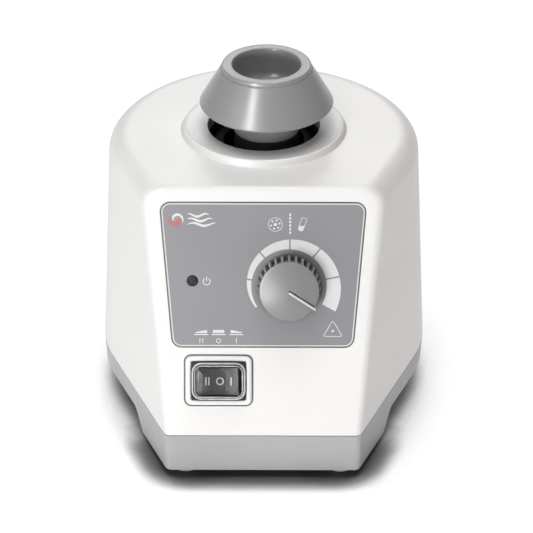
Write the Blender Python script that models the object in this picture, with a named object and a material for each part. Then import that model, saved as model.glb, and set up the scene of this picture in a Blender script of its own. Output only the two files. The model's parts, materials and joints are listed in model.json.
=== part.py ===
"""Bench vortex mixer with a touch-start rubber cup, modelled as separate parts.

Run with: blender --background --python part.py

Frame: +Z up, Z = 0 under the feet, the front panel faces -Y, the origin is below the middle of
the housing.  Sizes below are millimetres; MM turns them into Blender's metres.
"""

import math

import bmesh
import bpy
from mathutils import Vector

MM = 0.001
GAP = 0.3  # air left between two pieces that touch
SHARP_DEGREES = 35.0  # edges sharper than this are shaded as edges

# Housing: one circle around the drive axis, two flat sides tangent to it and a sloping front.
WIDTH = 127.0
DEPTH = 143.65
HEIGHT = 139.1
SEAM_RADIUS = WIDTH / 2.0
DRIVE_Y = DEPTH / 2.0 - SEAM_RADIUS
FRONT_Y = -DEPTH / 2.0
SEAM_Z = 20.74
TOP_Z = 110.06
SIDE_TURN = math.radians(21.3)  # how far each flat side turns in towards the front
WALL_DRAFT = math.radians(2.5)
PANEL_TILT = math.radians(20.4)
SHOULDER_RADIUS = 8.4
BROW_RADIUS = 2.0
CORNER_RADIUS = 2.2
WALL = 3.0

# Raised collar around the opening that the cup stands in.
OPENING_RADIUS = 21.5
COLLAR_RADIUS = 32.0
COLLAR_CREST_RADIUS = 30.3
COLLAR_HEIGHT = 2.6

# Base casting.
BASE_BOTTOM_Z = 3.6
BASE_DRAFT = 1.1
BASE_FRONT_DRAFT = 2.25
BASE_WALL = 4.0
BASE_FLOOR_BOTTOM_Z = 12.6
BASE_FLOOR_TOP_Z = 16.6
FINGER_GAP_Z = 12.0
FINGER_GAP_FRONT_Y = DRIVE_Y - 44.5
FINGER_GAP_REAR_Y = DRIVE_Y + 33.0
FINGER_GAP_RUN = 9.0

FOOT_RADIUS = 6.2
FOOT_STEM_RADIUS = 2.0
FOOT_STEM_TOP_Z = 10.0
FOOT_BOSS_RADIUS = 7.0
FOOT_PLACES = {
    "front_left": (-29.6, DRIVE_Y - 68.0),
    "front_right": (29.6, DRIVE_Y - 68.0),
    "rear_left": (-24.0, DRIVE_Y + 47.8),
    "rear_right": (24.0, DRIVE_Y + 47.8),
}

HOUSING_SCREW_RADIUS = 1.7
HOUSING_SCREW_TOP_Z = 40.0
HOUSING_SCREW_HEAD = (3.1, 2.4)  # radius and height
SCREW_SINK_RADIUS = 3.6
SCREW_SINK_Z = BASE_FLOOR_BOTTOM_Z + 2.7
HOUSING_BOSS_RADIUS = 4.2
HOUSING_BOSS_TOP_Z = 46.0
HOUSING_SCREW_PLACES = {
    "front_left": (-49.0, DRIVE_Y - 32.0),
    "front_right": (49.0, DRIVE_Y - 32.0),
    "rear_left": (-36.8, DRIVE_Y + 43.9),
    "rear_right": (36.8, DRIVE_Y + 43.9),
}

# Front panel: u runs right, v up the slope from the seam, w out of the panel.
OVERLAY_TOP_V = 89.8
OVERLAY_BOTTOM_V = 34.1
OVERLAY_TOP_HALF = 39.1
OVERLAY_BOTTOM_HALF = 34.3
OVERLAY_CORNER = 3.9
OVERLAY_POCKET = 0.7
OVERLAY_THICKNESS = 0.5
DIAL_U, DIAL_V = 9.8, 57.6
LED_U, LED_V = -26.5, 59.7
LED_RADIUS = 2.15
SWITCH_U, SWITCH_V = -16.7, 21.5

# Speed knob.
KNOB_RADIUS = 12.1
KNOB_FLUTES = 28
KNOB_FLUTE_DEPTH = 0.75
KNOB_BASE_W = 0.9
KNOB_TOP_W = 12.0
POINTER_REST = math.radians(-33.0)
KNOB_HOLLOW_RADIUS = 7.4
KNOB_HOLLOW_W = 3.4
POT_SHAFT_RADIUS = 3.0
POT_SHAFT_TOP_W = 9.4
POT_BUSHING_RADIUS = 4.2
POT_BUSHING_TOP_W = 3.0
POT_BORE_W = -5.0
POT_NUT_RADIUS = 6.9
POT_NUT_TOP_W = 2.4
POT_RADIUS = 8.5

# Control board, parallel to the panel.
BOARD_TOP_W = -13.6
BOARD_THICKNESS = 1.6
BOARD_LOW_U, BOARD_HIGH_U = -33.0, 24.0
BOARD_LOW_V, BOARD_HIGH_V = 42.0, 83.0
BOARD_SCREW_PLACES = {"lower": (-27.0, 46.5), "upper": (-27.0, 78.0)}
BOARD_SCREW_RADIUS = 1.1
BOARD_SCREW_END_W = -6.5
BOARD_SCREW_HEAD = (2.4, 1.6)  # radius and height
BOARD_BOSS_RADIUS = 2.8
CAPACITOR_RADIUS = 4.8
CAPACITOR_PLACE = (16.0, 48.0)
TRIAC_SIZE = (10.0, 4.4)
TRIAC_PLACE = (-6.0, 47.0)
HEAT_SINK_SIZE = (14.0, 1.6)
HEAT_SINK_PLACE = (-6.0, 43.6)
BOARD_PART_HEIGHT = 9.2

# Rocker switch.
SWITCH_FRAME = (25.6, 19.35)
SWITCH_FRAME_CORNER = 2.4
SWITCH_FRAME_HEIGHT = 1.2
SWITCH_BEZEL = (20.7, 14.75)
SWITCH_BODY = (18.8, 12.5)
SWITCH_BODY_DEPTH = 17.5
SWITCH_BEZEL_TOP_W = 0.8
SWITCH_WELL = (17.8, 11.4)
SWITCH_WELL_DEPTH = 8.0
SWITCH_LUG = (0.8, 4.8)
SWITCH_LUG_PITCH = 6.0
SWITCH_LUG_LENGTH = 7.0
ROCKER_PIVOT_W = -2.5
ROCKER_HALF = 7.9
ROCKER_WIDTH = 10.6
ROCKER_END_W = 2.2
ROCKER_DISH = 0.5
CAP_SIZE = (20.1, 14.3)
CAP_CORNER = 3.6
CAP_TOP_W = 5.4
CAP_WALL = 0.7

# Mains inlet in the rear wall.
INLET_Z = 40.0
INLET_FLANGE = (30.0, 23.0)
INLET_BODY = (27.0, 19.6)
INLET_SEAT_Y = DRIVE_Y + 59.2
INLET_MOUTH = (24.4, 16.0)
INLET_MOUTH_DEPTH = 16.0
INLET_MOUTH_CHAMFER = 4.5
INLET_FLANGE_THICKNESS = 2.4
INLET_BODY_DEPTH = 20.0
INLET_PIN = (2.0, 4.0)
INLET_PIN_ENDS = (-23.0, -1.0)
INLET_PIN_PLACES = {"line": (-7.0, -2.0), "neutral": (7.0, -2.0), "earth": (0.0, 2.2)}

# Drive carriage: motor on a plate that can sink on four springs.
POST_SPREAD = 27.0
POST_TOP_Z = 26.2
PLATE_BOTTOM_Z = 28.4
PLATE_THICKNESS = 3.0
PLATE_HALF = 34.0
PLATE_TOP_Z = PLATE_BOTTOM_Z + PLATE_THICKNESS
POST_RADIUS = 3.4
POST_BORE_RADIUS = 1.7
GUIDE_RADIUS = 2.0
GUIDE_HEAD = (3.6, 2.3)  # radius and height
SPRING_RADIUS = 4.9
SPRING_WIRE_RADIUS = 0.6
SPRING_TURNS = 3
MOTOR_RADIUS = 31.0
MOTOR_BOTTOM_Z = PLATE_TOP_Z + GAP
MOTOR_TOP_Z = 78.0
MOTOR_WALL = 1.4
MOTOR_ROOF = 2.0
MOTOR_NECK_RADIUS = 11.0
MOTOR_NECK_LOW_Z = 40.2
MOTOR_NECK_TOP_Z = 81.8
END_CAP_THICKNESS = 2.6
SHAFT_HOLE_RADIUS = 5.2
BEARING_INNER = 4.3
BEARING_OUTER = 8.0
LOWER_BEARING_Z = (34.5, 39.5)
UPPER_BEARING_Z = (74.4, 79.4)
CORE_Z = (46.0, 68.0)
ROTOR_RADIUS = 16.4
STATOR_BORE_RADIUS = 17.0
STATOR_SLOT_RADIUS = 25.0
STATOR_POLES = 4
WINDING_INNER = 18.6
WINDING_OUTER = 27.0
WINDING_Z = ((41.2, 45.6), (68.4, 72.8))
SHAFT_RADIUS = 4.0
SHAFT_BOTTOM_Z = 33.0
SHAFT_TOP_Z = 94.0

# Eccentric head and cup.
ORBIT_RADIUS = 2.0
ORBIT_REST = math.radians(-58.0)  # side of the drive axis on which the cup stands at rest
CUP_X = ORBIT_RADIUS * math.cos(ORBIT_REST)
CUP_Y = DRIVE_Y + ORBIT_RADIUS * math.sin(ORBIT_REST)
HUB_RADIUS = 14.0
HUB_BOTTOM_Z = 84.0
HUB_TOP_Z = 97.6
HUB_PIN_TOP_Z = 106.4
WEIGHT_RADIUS = 24.0
WEIGHT_Z = (86.0, 95.0)
WEIGHT_SPREAD = math.radians(150.0)
HOLDER_OUTER = 12.6
HOLDER_STEM_RADIUS = 7.0
HOLDER_STEM_TOP_Z = 121.8
HEAD_BEARING_OUTER = 9.1
HEAD_BEARING_Z = (98.6, 105.6)
CUP_BORE_RADIUS = 12.9
CUP_RIM_RADIUS = 17.3
CUP_FLARE_RADIUS = 25.8
CUP_FLARE_Z = 123.1
CUP_STEM_RADIUS = 13.6
CUP_BOTTOM_Z = 111.0
CUP_FLOOR_Z = 124.6
CUP_SOCKET_Z = 122.1

# Sealing boot.
BOOT_WALL = 1.2
BOOT_FOLDS = 2
BOOT_FOOT_RADIUS = 12.0
BOOT_WIDE_RADIUS = 29.0
BOOT_NARROW_RADIUS = 18.4
BOOT_LIP_RADIUS = 15.6
BOOT_FOOT_Z = 82.1
BOOT_SHOULDER_Z = 96.6
BOOT_LIP_Z = 104.4

# Touch switch.
TOUCH_SWITCH_Y = DRIVE_Y - 20.0
TOUCH_SWITCH_SIZE = (19.8, 6.4)
TOUCH_SWITCH_HEIGHT = 8.3
TOUCH_PLUNGER_RADIUS = 1.0


def clear_scene():
    for old in list(bpy.data.objects):
        bpy.data.objects.remove(old)


def material(name, colour, roughness, metallic=0.0, alpha=1.0):
    """A Principled material with the part's own colour and finish."""
    made = bpy.data.materials.new(name)
    made.use_nodes = True
    shader = made.node_tree.nodes["Principled BSDF"]
    shader.inputs["Base Color"].default_value = (*colour, 1.0)
    shader.inputs["Roughness"].default_value = roughness
    shader.inputs["Metallic"].default_value = metallic
    shader.inputs["Alpha"].default_value = alpha
    return made


def finish(name, bm, look, parent=None, place=(0.0, 0.0, 0.0), turn=0.0):
    """Turn a bmesh in millimetres into a smooth-shaded object in metres."""
    bmesh.ops.scale(bm, vec=(MM, MM, MM), verts=bm.verts)
    bmesh.ops.recalc_face_normals(bm, faces=bm.faces)
    mesh = bpy.data.meshes.new(name)
    bm.to_mesh(mesh)
    bm.free()
    mesh.shade_smooth()
    mesh.set_sharp_from_angle(angle=math.radians(SHARP_DEGREES))
    made = bpy.data.objects.new(name, mesh)
    bpy.context.scene.collection.objects.link(made)
    made.parent = parent
    made.location = Vector(place) * MM
    made.rotation_euler.z = turn
    if look:
        mesh.materials.append(look)
    return made


def tool(name, bm, parent=None, place=(0.0, 0.0, 0.0)):
    """A shape that only joins to or cuts another, so it has no material."""
    return finish(name, bm, None, parent, place)


def empty(name, place, tilt=0.0):
    """A guide that stands on a joint axis or lies in the panel."""
    made = bpy.data.objects.new(name, None)
    bpy.context.scene.collection.objects.link(made)
    made.location = Vector(place) * MM
    made.rotation_euler.x = tilt
    return made


def boolean(target, tool, operation):
    """Join or cut with another object, which becomes a hidden cutter."""
    step = target.modifiers.new(operation.lower(), "BOOLEAN")
    step.operation = operation
    step.object = tool
    step.solver = "EXACT"
    tool.hide_render = True
    tool.display_type = "WIRE"


def cut(target, *tools):
    for tool in tools:
        boolean(target, tool, "DIFFERENCE")


def join(target, *tools):
    for tool in tools:
        boolean(target, tool, "UNION")


def bridge(bm, lower, upper):
    count = len(lower)
    for i in range(count):
        j = (i + 1) % count
        bm.faces.new((lower[i], lower[j], upper[j], upper[i]))


def loft(rings, closed=False):
    """Skin through rings of equal length, capped at both ends or closed on itself."""
    bm = bmesh.new()
    loops = [[bm.verts.new(point) for point in ring] for ring in rings]
    for lower, upper in zip(loops, loops[1:]):
        bridge(bm, lower, upper)
    if closed:
        bridge(bm, loops[-1], loops[0])
    else:
        bm.faces.new(loops[0][::-1])
        bm.faces.new(loops[-1])
    return bm


def circle(radius, z, count):
    ring = []
    for i in range(count):
        angle = 2.0 * math.pi * i / count
        ring.append((radius * math.cos(angle), radius * math.sin(angle), z))
    return ring


def lathe(profile, count=32, closed=False):
    """Turn (radius, z) points about the local Z axis."""
    return loft([circle(radius, z, count) for radius, z in profile], closed)


def tube(inner, outer, low, high, count=28):
    return lathe([(inner, low), (outer, low), (outer, high), (inner, high)], count, closed=True)


def rod(radius, low, high, count=20):
    return lathe([(radius, low), (radius, high)], count)


def prism(outline, low, high):
    return loft([[(x, y, low) for x, y in outline], [(x, y, high) for x, y in outline]])


def block(size, low, high, centre=(0.0, 0.0)):
    half_x, half_y = size[0] / 2.0, size[1] / 2.0
    corners = [(-half_x, -half_y), (half_x, -half_y), (half_x, half_y), (-half_x, half_y)]
    return prism([(centre[0] + x, centre[1] + y) for x, y in corners], low, high)


def rounded_outline(corners, radius, steps=4):
    """A convex outline, given anticlockwise, with each corner rounded to the radius."""
    outline = []
    count = len(corners)
    for i in range(count):
        here = Vector(corners[i])
        before = (Vector(corners[i - 1]) - here).normalized()
        after = (Vector(corners[(i + 1) % count]) - here).normalized()
        half = before.angle(after) / 2.0
        centre = here + (before + after).normalized() * (radius / math.sin(half))
        first = here + before * (radius / math.tan(half)) - centre
        start = math.atan2(first.y, first.x)
        sweep = math.pi - 2.0 * half
        for k in range(steps + 1):
            angle = start + sweep * k / steps
            outline.append((centre.x + radius * math.cos(angle), centre.y + radius * math.sin(angle)))
    return outline


def rounded_rectangle(size, radius, steps=4):
    x, y = size[0] / 2.0, size[1] / 2.0
    return rounded_outline([(-x, -y), (x, -y), (x, y), (-x, y)], radius, steps)


# ---------------------------------------------------------------- housing shape


def plan_outline(radius, front_y, corner, corner_steps=3):
    """Housing outline in plan, anticlockwise from the right end of the front edge."""
    turn = SIDE_TURN
    centre_y = front_y + corner
    centre_x = (radius - corner + (centre_y - DRIVE_Y) * math.sin(turn)) / math.cos(turn)
    half_pi = math.pi / 2.0
    arcs = [
        (centre_x, centre_y, corner, -half_pi, -turn, corner_steps),
        (0.0, DRIVE_Y, radius, -turn, 0.0, 3),
        (0.0, DRIVE_Y, radius, 0.0, math.pi, 30),
        (0.0, DRIVE_Y, radius, math.pi, math.pi + turn, 3),
        (-centre_x, centre_y, corner, math.pi + turn, 3.0 * half_pi, corner_steps),
    ]
    outline = []
    for x, y, size, start, end, steps in arcs:
        joins_last = bool(outline) and start in (0.0, math.pi)
        for k in range(1 if joins_last else 0, steps + 1):
            angle = start + (end - start) * k / steps
            outline.append((x + size * math.cos(angle), y + size * math.sin(angle)))
    return outline


def edge_inset(depth, radius, lean):
    """How far a rounded top edge stands in from the leaning wall, at a depth below the top."""
    if depth >= radius * (1.0 - math.sin(lean)):
        return 0.0
    rise = math.asin(max(-1.0, min(1.0, 1.0 - depth / radius)))
    return radius * (1.0 / math.cos(lean) - math.cos(rise) - math.sin(rise) * math.tan(lean))


def housing_ring(z, inset, top_z, shoulder, brow, corner):
    """One level of the housing wall, moved in by the inset."""
    climb = z - SEAM_Z
    depth = top_z - z
    radius = SEAM_RADIUS - climb * math.tan(WALL_DRAFT) - inset
    radius -= edge_inset(depth, shoulder, WALL_DRAFT)
    front_y = FRONT_Y + climb * math.tan(PANEL_TILT) + inset / math.cos(PANEL_TILT)
    front_y += edge_inset(depth, brow, PANEL_TILT)
    return [(x, y, z) for x, y in plan_outline(radius, front_y, corner)]


def edge_levels(top_z, radius, lean, steps):
    """Heights of the rings around a rounded top edge, from the wall up."""
    levels = []
    for k in range(steps + 1):
        rise = lean + (math.pi / 2.0 - lean) * k / steps
        levels.append(top_z - radius * (1.0 - math.sin(rise)))
    return levels


def housing_shell(white):
    """Ceiling, inner wall, outer wall, rounded shoulder and top as one skin, open below."""
    low = SEAM_Z + GAP / 2.0
    inner_top = TOP_Z - WALL
    inner_shoulder = SHOULDER_RADIUS - WALL
    rings = []
    for z in reversed(edge_levels(inner_top, inner_shoulder, WALL_DRAFT, 3)):
        rings.append(housing_ring(z, WALL, inner_top, inner_shoulder, 0.5, 0.8))
    rings.append(housing_ring(low, WALL, inner_top, inner_shoulder, 0.5, 0.8))
    rings.append(housing_ring(low, 0.0, TOP_Z, SHOULDER_RADIUS, BROW_RADIUS, CORNER_RADIUS))
    for z in edge_levels(TOP_Z, SHOULDER_RADIUS, WALL_DRAFT, 6):
        rings.append(housing_ring(z, 0.0, TOP_Z, SHOULDER_RADIUS, BROW_RADIUS, CORNER_RADIUS))
    return finish("upper_housing", loft(rings), white)


def collar_and_opening(shell, axis):
    """Raised collar with a shallow dish, and the opening through it."""
    crest = TOP_Z + COLLAR_HEIGHT
    profile = [
        (COLLAR_RADIUS, TOP_Z - 1.0),
        (COLLAR_RADIUS, TOP_Z + 0.1),
        (COLLAR_RADIUS - 0.4, TOP_Z + 0.6),
        (COLLAR_RADIUS - 1.0, crest - 0.6),
        (COLLAR_CREST_RADIUS, crest),
        (COLLAR_CREST_RADIUS - 3.0, crest - 0.4),
    ]
    join(shell, tool("collar", lathe(profile, 44), axis))
    cut(shell, tool("opening", rod(OPENING_RADIUS, TOP_Z - 10.0, TOP_Z + 10.0, 44), axis))


def overlay_outline(shrink):
    """Trapezoid of the panel overlay, each side moved in by shrink."""
    slope = math.atan((OVERLAY_TOP_HALF - OVERLAY_BOTTOM_HALF) / (OVERLAY_TOP_V - OVERLAY_BOTTOM_V))
    side = shrink / math.cos(slope)
    low, high = OVERLAY_BOTTOM_V + shrink, OVERLAY_TOP_V - shrink
    low_half = OVERLAY_BOTTOM_HALF - side + shrink * math.tan(slope)
    high_half = OVERLAY_TOP_HALF - side - shrink * math.tan(slope)
    corners = [(-low_half, low), (low_half, low), (high_half, high), (-high_half, high)]
    return rounded_outline(corners, OVERLAY_CORNER - shrink)


def grown(size, margin):
    return (size[0] + 2.0 * margin, size[1] + 2.0 * margin)


def panel_openings(shell, panel):
    """Pocket for the overlay, raised switch frame and the holes behind the panel's parts."""
    frame_outline = rounded_rectangle(SWITCH_FRAME, SWITCH_FRAME_CORNER)
    switch = (SWITCH_U, SWITCH_V, 0.0)
    dial = (DIAL_U, DIAL_V, 0.0)
    light = (LED_U, LED_V, 0.0)
    join(shell, tool("switch_frame", prism(frame_outline, -1.0, SWITCH_FRAME_HEIGHT), panel, switch))
    cut(
        shell,
        tool("switch_seat", block(grown(SWITCH_BEZEL, GAP), -0.9, 5.0), panel, switch),
        tool("switch_throat", block(grown(SWITCH_BODY, GAP), -9.0, 5.0), panel, switch),
        tool("overlay_pocket", prism(overlay_outline(0.0), -OVERLAY_POCKET, 5.0), panel),
        tool("dial_hole", rod(POT_BUSHING_RADIUS + GAP, -9.0, 5.0), panel, dial),
        tool("led_hole", rod(LED_RADIUS + 0.2, -9.0, 5.0), panel, light),
    )


def inlet_openings(shell):
    """Thickened pad in the rear wall, the recess for the inlet's flange and its window."""
    pad_half = INLET_FLANGE[1] / 2.0 + 3.5
    recess_half = INLET_FLANGE[1] / 2.0 + GAP
    window_half = INLET_BODY[1] / 2.0 + GAP
    pad_size = (INLET_FLANGE[0] + 6.0, 7.0)
    recess_size = (INLET_FLANGE[0] + 2.0 * GAP, 12.0)
    window_size = (INLET_BODY[0] + 2.0 * GAP, 30.0)
    pad = block(pad_size, INLET_Z - pad_half, INLET_Z + pad_half, (0.0, INLET_SEAT_Y - 2.5))
    recess = block(recess_size, INLET_Z - recess_half, INLET_Z + recess_half, (0.0, INLET_SEAT_Y + 6.0))
    window = block(window_size, INLET_Z - window_half, INLET_Z + window_half, (0.0, INLET_SEAT_Y))
    join(shell, tool("inlet_pad", pad))
    cut(shell, tool("inlet_recess", recess), tool("inlet_window", window))


def upper_housing(white, panel, axis):
    shell = housing_shell(white)
    collar_and_opening(shell, axis)
    low = SEAM_Z + GAP / 2.0
    for side, (x, y) in HOUSING_SCREW_PLACES.items():
        boss = rod(HOUSING_BOSS_RADIUS, low, HOUSING_BOSS_TOP_Z, 16)
        hole = rod(HOUSING_SCREW_RADIUS + GAP, 0.0, HOUSING_SCREW_TOP_Z + 1.0, 12)
        join(shell, tool("boss_" + side, boss, place=(x, y, 0.0)))
        cut(shell, tool("boss_hole_" + side, hole, place=(x, y, 0.0)))
    for level, (u, v) in BOARD_SCREW_PLACES.items():
        boss = rod(BOARD_BOSS_RADIUS, BOARD_TOP_W + GAP, -WALL + 1.0, 14)
        hole = rod(BOARD_SCREW_RADIUS + GAP, BOARD_TOP_W - 1.0, BOARD_SCREW_END_W + 1.0, 10)
        join(shell, tool("board_boss_" + level, boss, panel, (u, v, 0.0)))
        cut(shell, tool("board_hole_" + level, hole, panel, (u, v, 0.0)))
    panel_openings(shell, panel)
    inlet_openings(shell)


# ---------------------------------------------------------------- base


def base_ring(z, inset, corner):
    """One level of the base wall, which tapers in towards the bottom."""
    drop = (SEAM_Z - z) / (SEAM_Z - BASE_BOTTOM_Z)
    radius = SEAM_RADIUS - BASE_DRAFT * drop - inset
    front_y = FRONT_Y + BASE_FRONT_DRAFT * drop + inset
    return [(x, y, z) for x, y in plan_outline(radius, front_y, corner)]


def finger_gap_outline():
    """Side view (y, z) of the cut that lifts the skirt along both sides."""
    steps = 6
    outline = [(FINGER_GAP_FRONT_Y - FINGER_GAP_RUN, BASE_BOTTOM_Z - 2.0)]
    outline.append((FINGER_GAP_REAR_Y + FINGER_GAP_RUN, BASE_BOTTOM_Z - 2.0))
    for k in range(steps + 1):
        share = k / steps
        rise = 0.5 - 0.5 * math.cos(math.pi * share)
        z = BASE_BOTTOM_Z - 0.4 + (FINGER_GAP_Z - BASE_BOTTOM_Z + 0.4) * rise
        outline.append((FINGER_GAP_REAR_Y + FINGER_GAP_RUN * (1.0 - share), z))
    for k in range(steps + 1):
        share = k / steps
        rise = 0.5 + 0.5 * math.cos(math.pi * share)
        z = BASE_BOTTOM_Z - 0.4 + (FINGER_GAP_Z - BASE_BOTTOM_Z + 0.4) * rise
        outline.append((FINGER_GAP_FRONT_Y - FINGER_GAP_RUN * share, z))
    return outline


def base_casting(grey):
    high = SEAM_Z - GAP / 2.0
    rings = [
        base_ring(BASE_FLOOR_TOP_Z, BASE_WALL, 1.0),
        base_ring(high, BASE_WALL - 0.6, 1.0),
        base_ring(high, 0.0, 2.9),
        base_ring(BASE_BOTTOM_Z + 0.3, 0.0, 2.9),
        base_ring(BASE_BOTTOM_Z, 0.3, 2.6),
        base_ring(BASE_BOTTOM_Z, BASE_WALL, 1.0),
        base_ring(BASE_FLOOR_BOTTOM_Z, BASE_WALL, 1.0),
    ]
    base = finish("base_casting", loft(rings), grey)
    for corner, (x, y) in FOOT_PLACES.items():
        boss = rod(FOOT_BOSS_RADIUS, BASE_BOTTOM_Z + 0.1, BASE_FLOOR_BOTTOM_Z + 1.0, 16)
        hole = rod(FOOT_STEM_RADIUS + GAP, 0.0, FOOT_STEM_TOP_Z + GAP, 12)
        join(base, tool("foot_boss_" + corner, boss, place=(x, y, 0.0)))
        cut(base, tool("foot_hole_" + corner, hole, place=(x, y, 0.0)))
    for corner, (x, y) in HOUSING_SCREW_PLACES.items():
        hole = rod(HOUSING_SCREW_RADIUS + GAP, 0.0, 30.0, 12)
        sink = rod(SCREW_SINK_RADIUS, 0.0, SCREW_SINK_Z, 14)
        cut(base, tool("screw_hole_" + corner, hole, place=(x, y, 0.0)))
        cut(base, tool("screw_sink_" + corner, sink, place=(x, y, 0.0)))
    for number, (x, y) in enumerate(post_places(), 1):
        profile = [
            (POST_RADIUS, BASE_FLOOR_TOP_Z - 1.0),
            (POST_RADIUS, POST_TOP_Z),
            (POST_BORE_RADIUS, POST_TOP_Z),
            (POST_BORE_RADIUS, BASE_FLOOR_TOP_Z + 1.0),
        ]
        join(base, tool("post_%d" % number, lathe(profile, 16), place=(x, y, 0.0)))
    side_view = finger_gap_outline()
    left = [(-80.0, y, z) for y, z in side_view]
    right = [(80.0, y, z) for y, z in side_view]
    cut(base, tool("finger_gap", loft([left, right])))


def feet(rubber):
    top = BASE_BOTTOM_Z - GAP
    for corner, (x, y) in FOOT_PLACES.items():
        profile = [
            (FOOT_RADIUS - 1.2, 0.0),
            (FOOT_RADIUS - 0.3, 0.6),
            (FOOT_RADIUS, 1.8),
            (FOOT_RADIUS, top),
            (FOOT_STEM_RADIUS, top),
            (FOOT_STEM_RADIUS, FOOT_STEM_TOP_Z),
        ]
        finish("foot_" + corner, lathe(profile, 16), rubber, place=(x, y, 0))


def housing_screws(steel):
    head_top = SCREW_SINK_Z - GAP
    head_radius, head_height = HOUSING_SCREW_HEAD
    for corner, (x, y) in HOUSING_SCREW_PLACES.items():
        profile = [
            (head_radius, head_top - head_height),
            (head_radius, head_top),
            (HOUSING_SCREW_RADIUS, head_top),
            (HOUSING_SCREW_RADIUS, HOUSING_SCREW_TOP_Z),
        ]
        finish("housing_screw_" + corner, lathe(profile, 12), steel, place=(x, y, 0))


# ---------------------------------------------------------------- panel parts


def overlay(grey, panel):
    low = -OVERLAY_POCKET + GAP
    plate = prism(overlay_outline(GAP), low, low + OVERLAY_THICKNESS)
    dial_hole = rod(POT_NUT_RADIUS + 0.6, -4.0, 4.0)
    light_hole = rod(LED_RADIUS + 0.15, -4.0, 4.0, 24)
    cut(
        finish("panel_overlay", plate, grey, panel),
        tool("overlay_dial_hole", dial_hole, panel, (DIAL_U, DIAL_V, 0.0)),
        tool("overlay_led_hole", light_hole, panel, (LED_U, LED_V, 0.0)),
    )


def knob_outline_ring(radius, depth, w):
    """One level of the knob's fluted side: narrow grooves between broad lands."""
    ring = []
    steps = KNOB_FLUTES * 3
    for i in range(steps):
        angle = 2.0 * math.pi * i / steps
        inside = depth if i % 3 == 0 else 0.0
        ring.append(((radius - inside) * math.cos(angle), (radius - inside) * math.sin(angle), w))
    return ring


def speed_knob(grey, white, axis):
    depth = KNOB_FLUTE_DEPTH
    rings = [
        knob_outline_ring(KNOB_RADIUS - 0.2, depth, KNOB_BASE_W),
        knob_outline_ring(KNOB_RADIUS, depth, KNOB_BASE_W + 0.3),
        knob_outline_ring(KNOB_RADIUS - 0.5, depth, KNOB_TOP_W - 1.5),
        knob_outline_ring(KNOB_RADIUS - 0.9, 0.0, KNOB_TOP_W - 0.7),
        knob_outline_ring(KNOB_RADIUS * 0.5, 0.0, KNOB_TOP_W - 0.1),
    ]
    knob = finish("speed_knob", loft(rings), grey, axis)
    bore = POT_SHAFT_RADIUS + GAP
    hollow = [
        (KNOB_HOLLOW_RADIUS, 0.0),
        (KNOB_HOLLOW_RADIUS, KNOB_HOLLOW_W),
        (bore, KNOB_HOLLOW_W),
        (bore, POT_SHAFT_TOP_W + 0.4),
    ]
    cut(knob, tool("knob_hollow", lathe(hollow, 20), axis))
    slot = block((12.6, 1.6), KNOB_TOP_W - 1.6, KNOB_TOP_W + 2.0, (6.3, 0.0))
    groove = tool("pointer_groove", slot, axis)
    groove.rotation_euler.z = POINTER_REST
    cut(knob, groove)
    bar = block((11.8, 1.0), KNOB_TOP_W - 1.3, KNOB_TOP_W + 0.1, (6.2, 0.0))
    finish("knob_pointer", bar, white, axis, turn=POINTER_REST)


def potentiometer(black, brass, steel, panel, axis):
    low = BOARD_TOP_W + GAP
    under_wall = -WALL - GAP
    place = (DIAL_U, DIAL_V, 0.0)
    profile = [
        (POT_SHAFT_RADIUS + GAP, POT_BORE_W),
        (POT_SHAFT_RADIUS + GAP, POT_BUSHING_TOP_W),
        (POT_BUSHING_RADIUS, POT_BUSHING_TOP_W),
        (POT_BUSHING_RADIUS, under_wall),
        (POT_RADIUS, under_wall),
        (POT_RADIUS, low),
        (1.0, low),
        (1.0, POT_BORE_W),
    ]
    finish("potentiometer", lathe(profile, 24, closed=True), black, panel, place)
    shaft = rod(POT_SHAFT_RADIUS, POT_BORE_W + 0.4, POT_SHAFT_TOP_W, 18)
    finish("potentiometer_shaft", shaft, brass, axis)
    hexagon = rod(POT_NUT_RADIUS, -OVERLAY_POCKET + GAP, POT_NUT_TOP_W, 6)
    nut = finish("potentiometer_nut", hexagon, steel, panel, place)
    cut(nut, tool("nut_bore", rod(POT_BUSHING_RADIUS + GAP, -4.0, 6.0), panel, place))


def board_screws(board, steel, panel):
    under = BOARD_TOP_W - BOARD_THICKNESS - GAP
    head_radius, head_height = BOARD_SCREW_HEAD
    for level, (u, v) in BOARD_SCREW_PLACES.items():
        clearance = rod(BOARD_SCREW_RADIUS + GAP, -30.0, 0.0, 10)
        cut(board, tool("board_clearance_" + level, clearance, panel, (u, v, 0.0)))
        profile = [
            (head_radius, under - head_height),
            (head_radius, under),
            (BOARD_SCREW_RADIUS, under),
            (BOARD_SCREW_RADIUS, BOARD_SCREW_END_W),
        ]
        finish("board_screw_" + level, lathe(profile, 10), steel, panel, (u, v, 0.0))


def power_light(red, lens, panel):
    """Indicator diode on the board and the clear rod that carries its light to the panel."""
    foot = BOARD_TOP_W + GAP
    diode = [(2.6, foot), (2.6, foot + 1.7), (2.2, foot + 1.7), (2.2, foot + 2.9), (1.2, foot + 3.9)]
    finish("power_led", lathe(diode, 16), red, panel, (LED_U, LED_V, 0.0))
    pipe = [(LED_RADIUS - 0.15, -9.0), (LED_RADIUS - 0.15, -0.2), (1.5, 0.15), (0.6, 0.3)]
    finish("led_light_pipe", lathe(pipe, 20), lens, panel, (LED_U, LED_V, 0.0))


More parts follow.
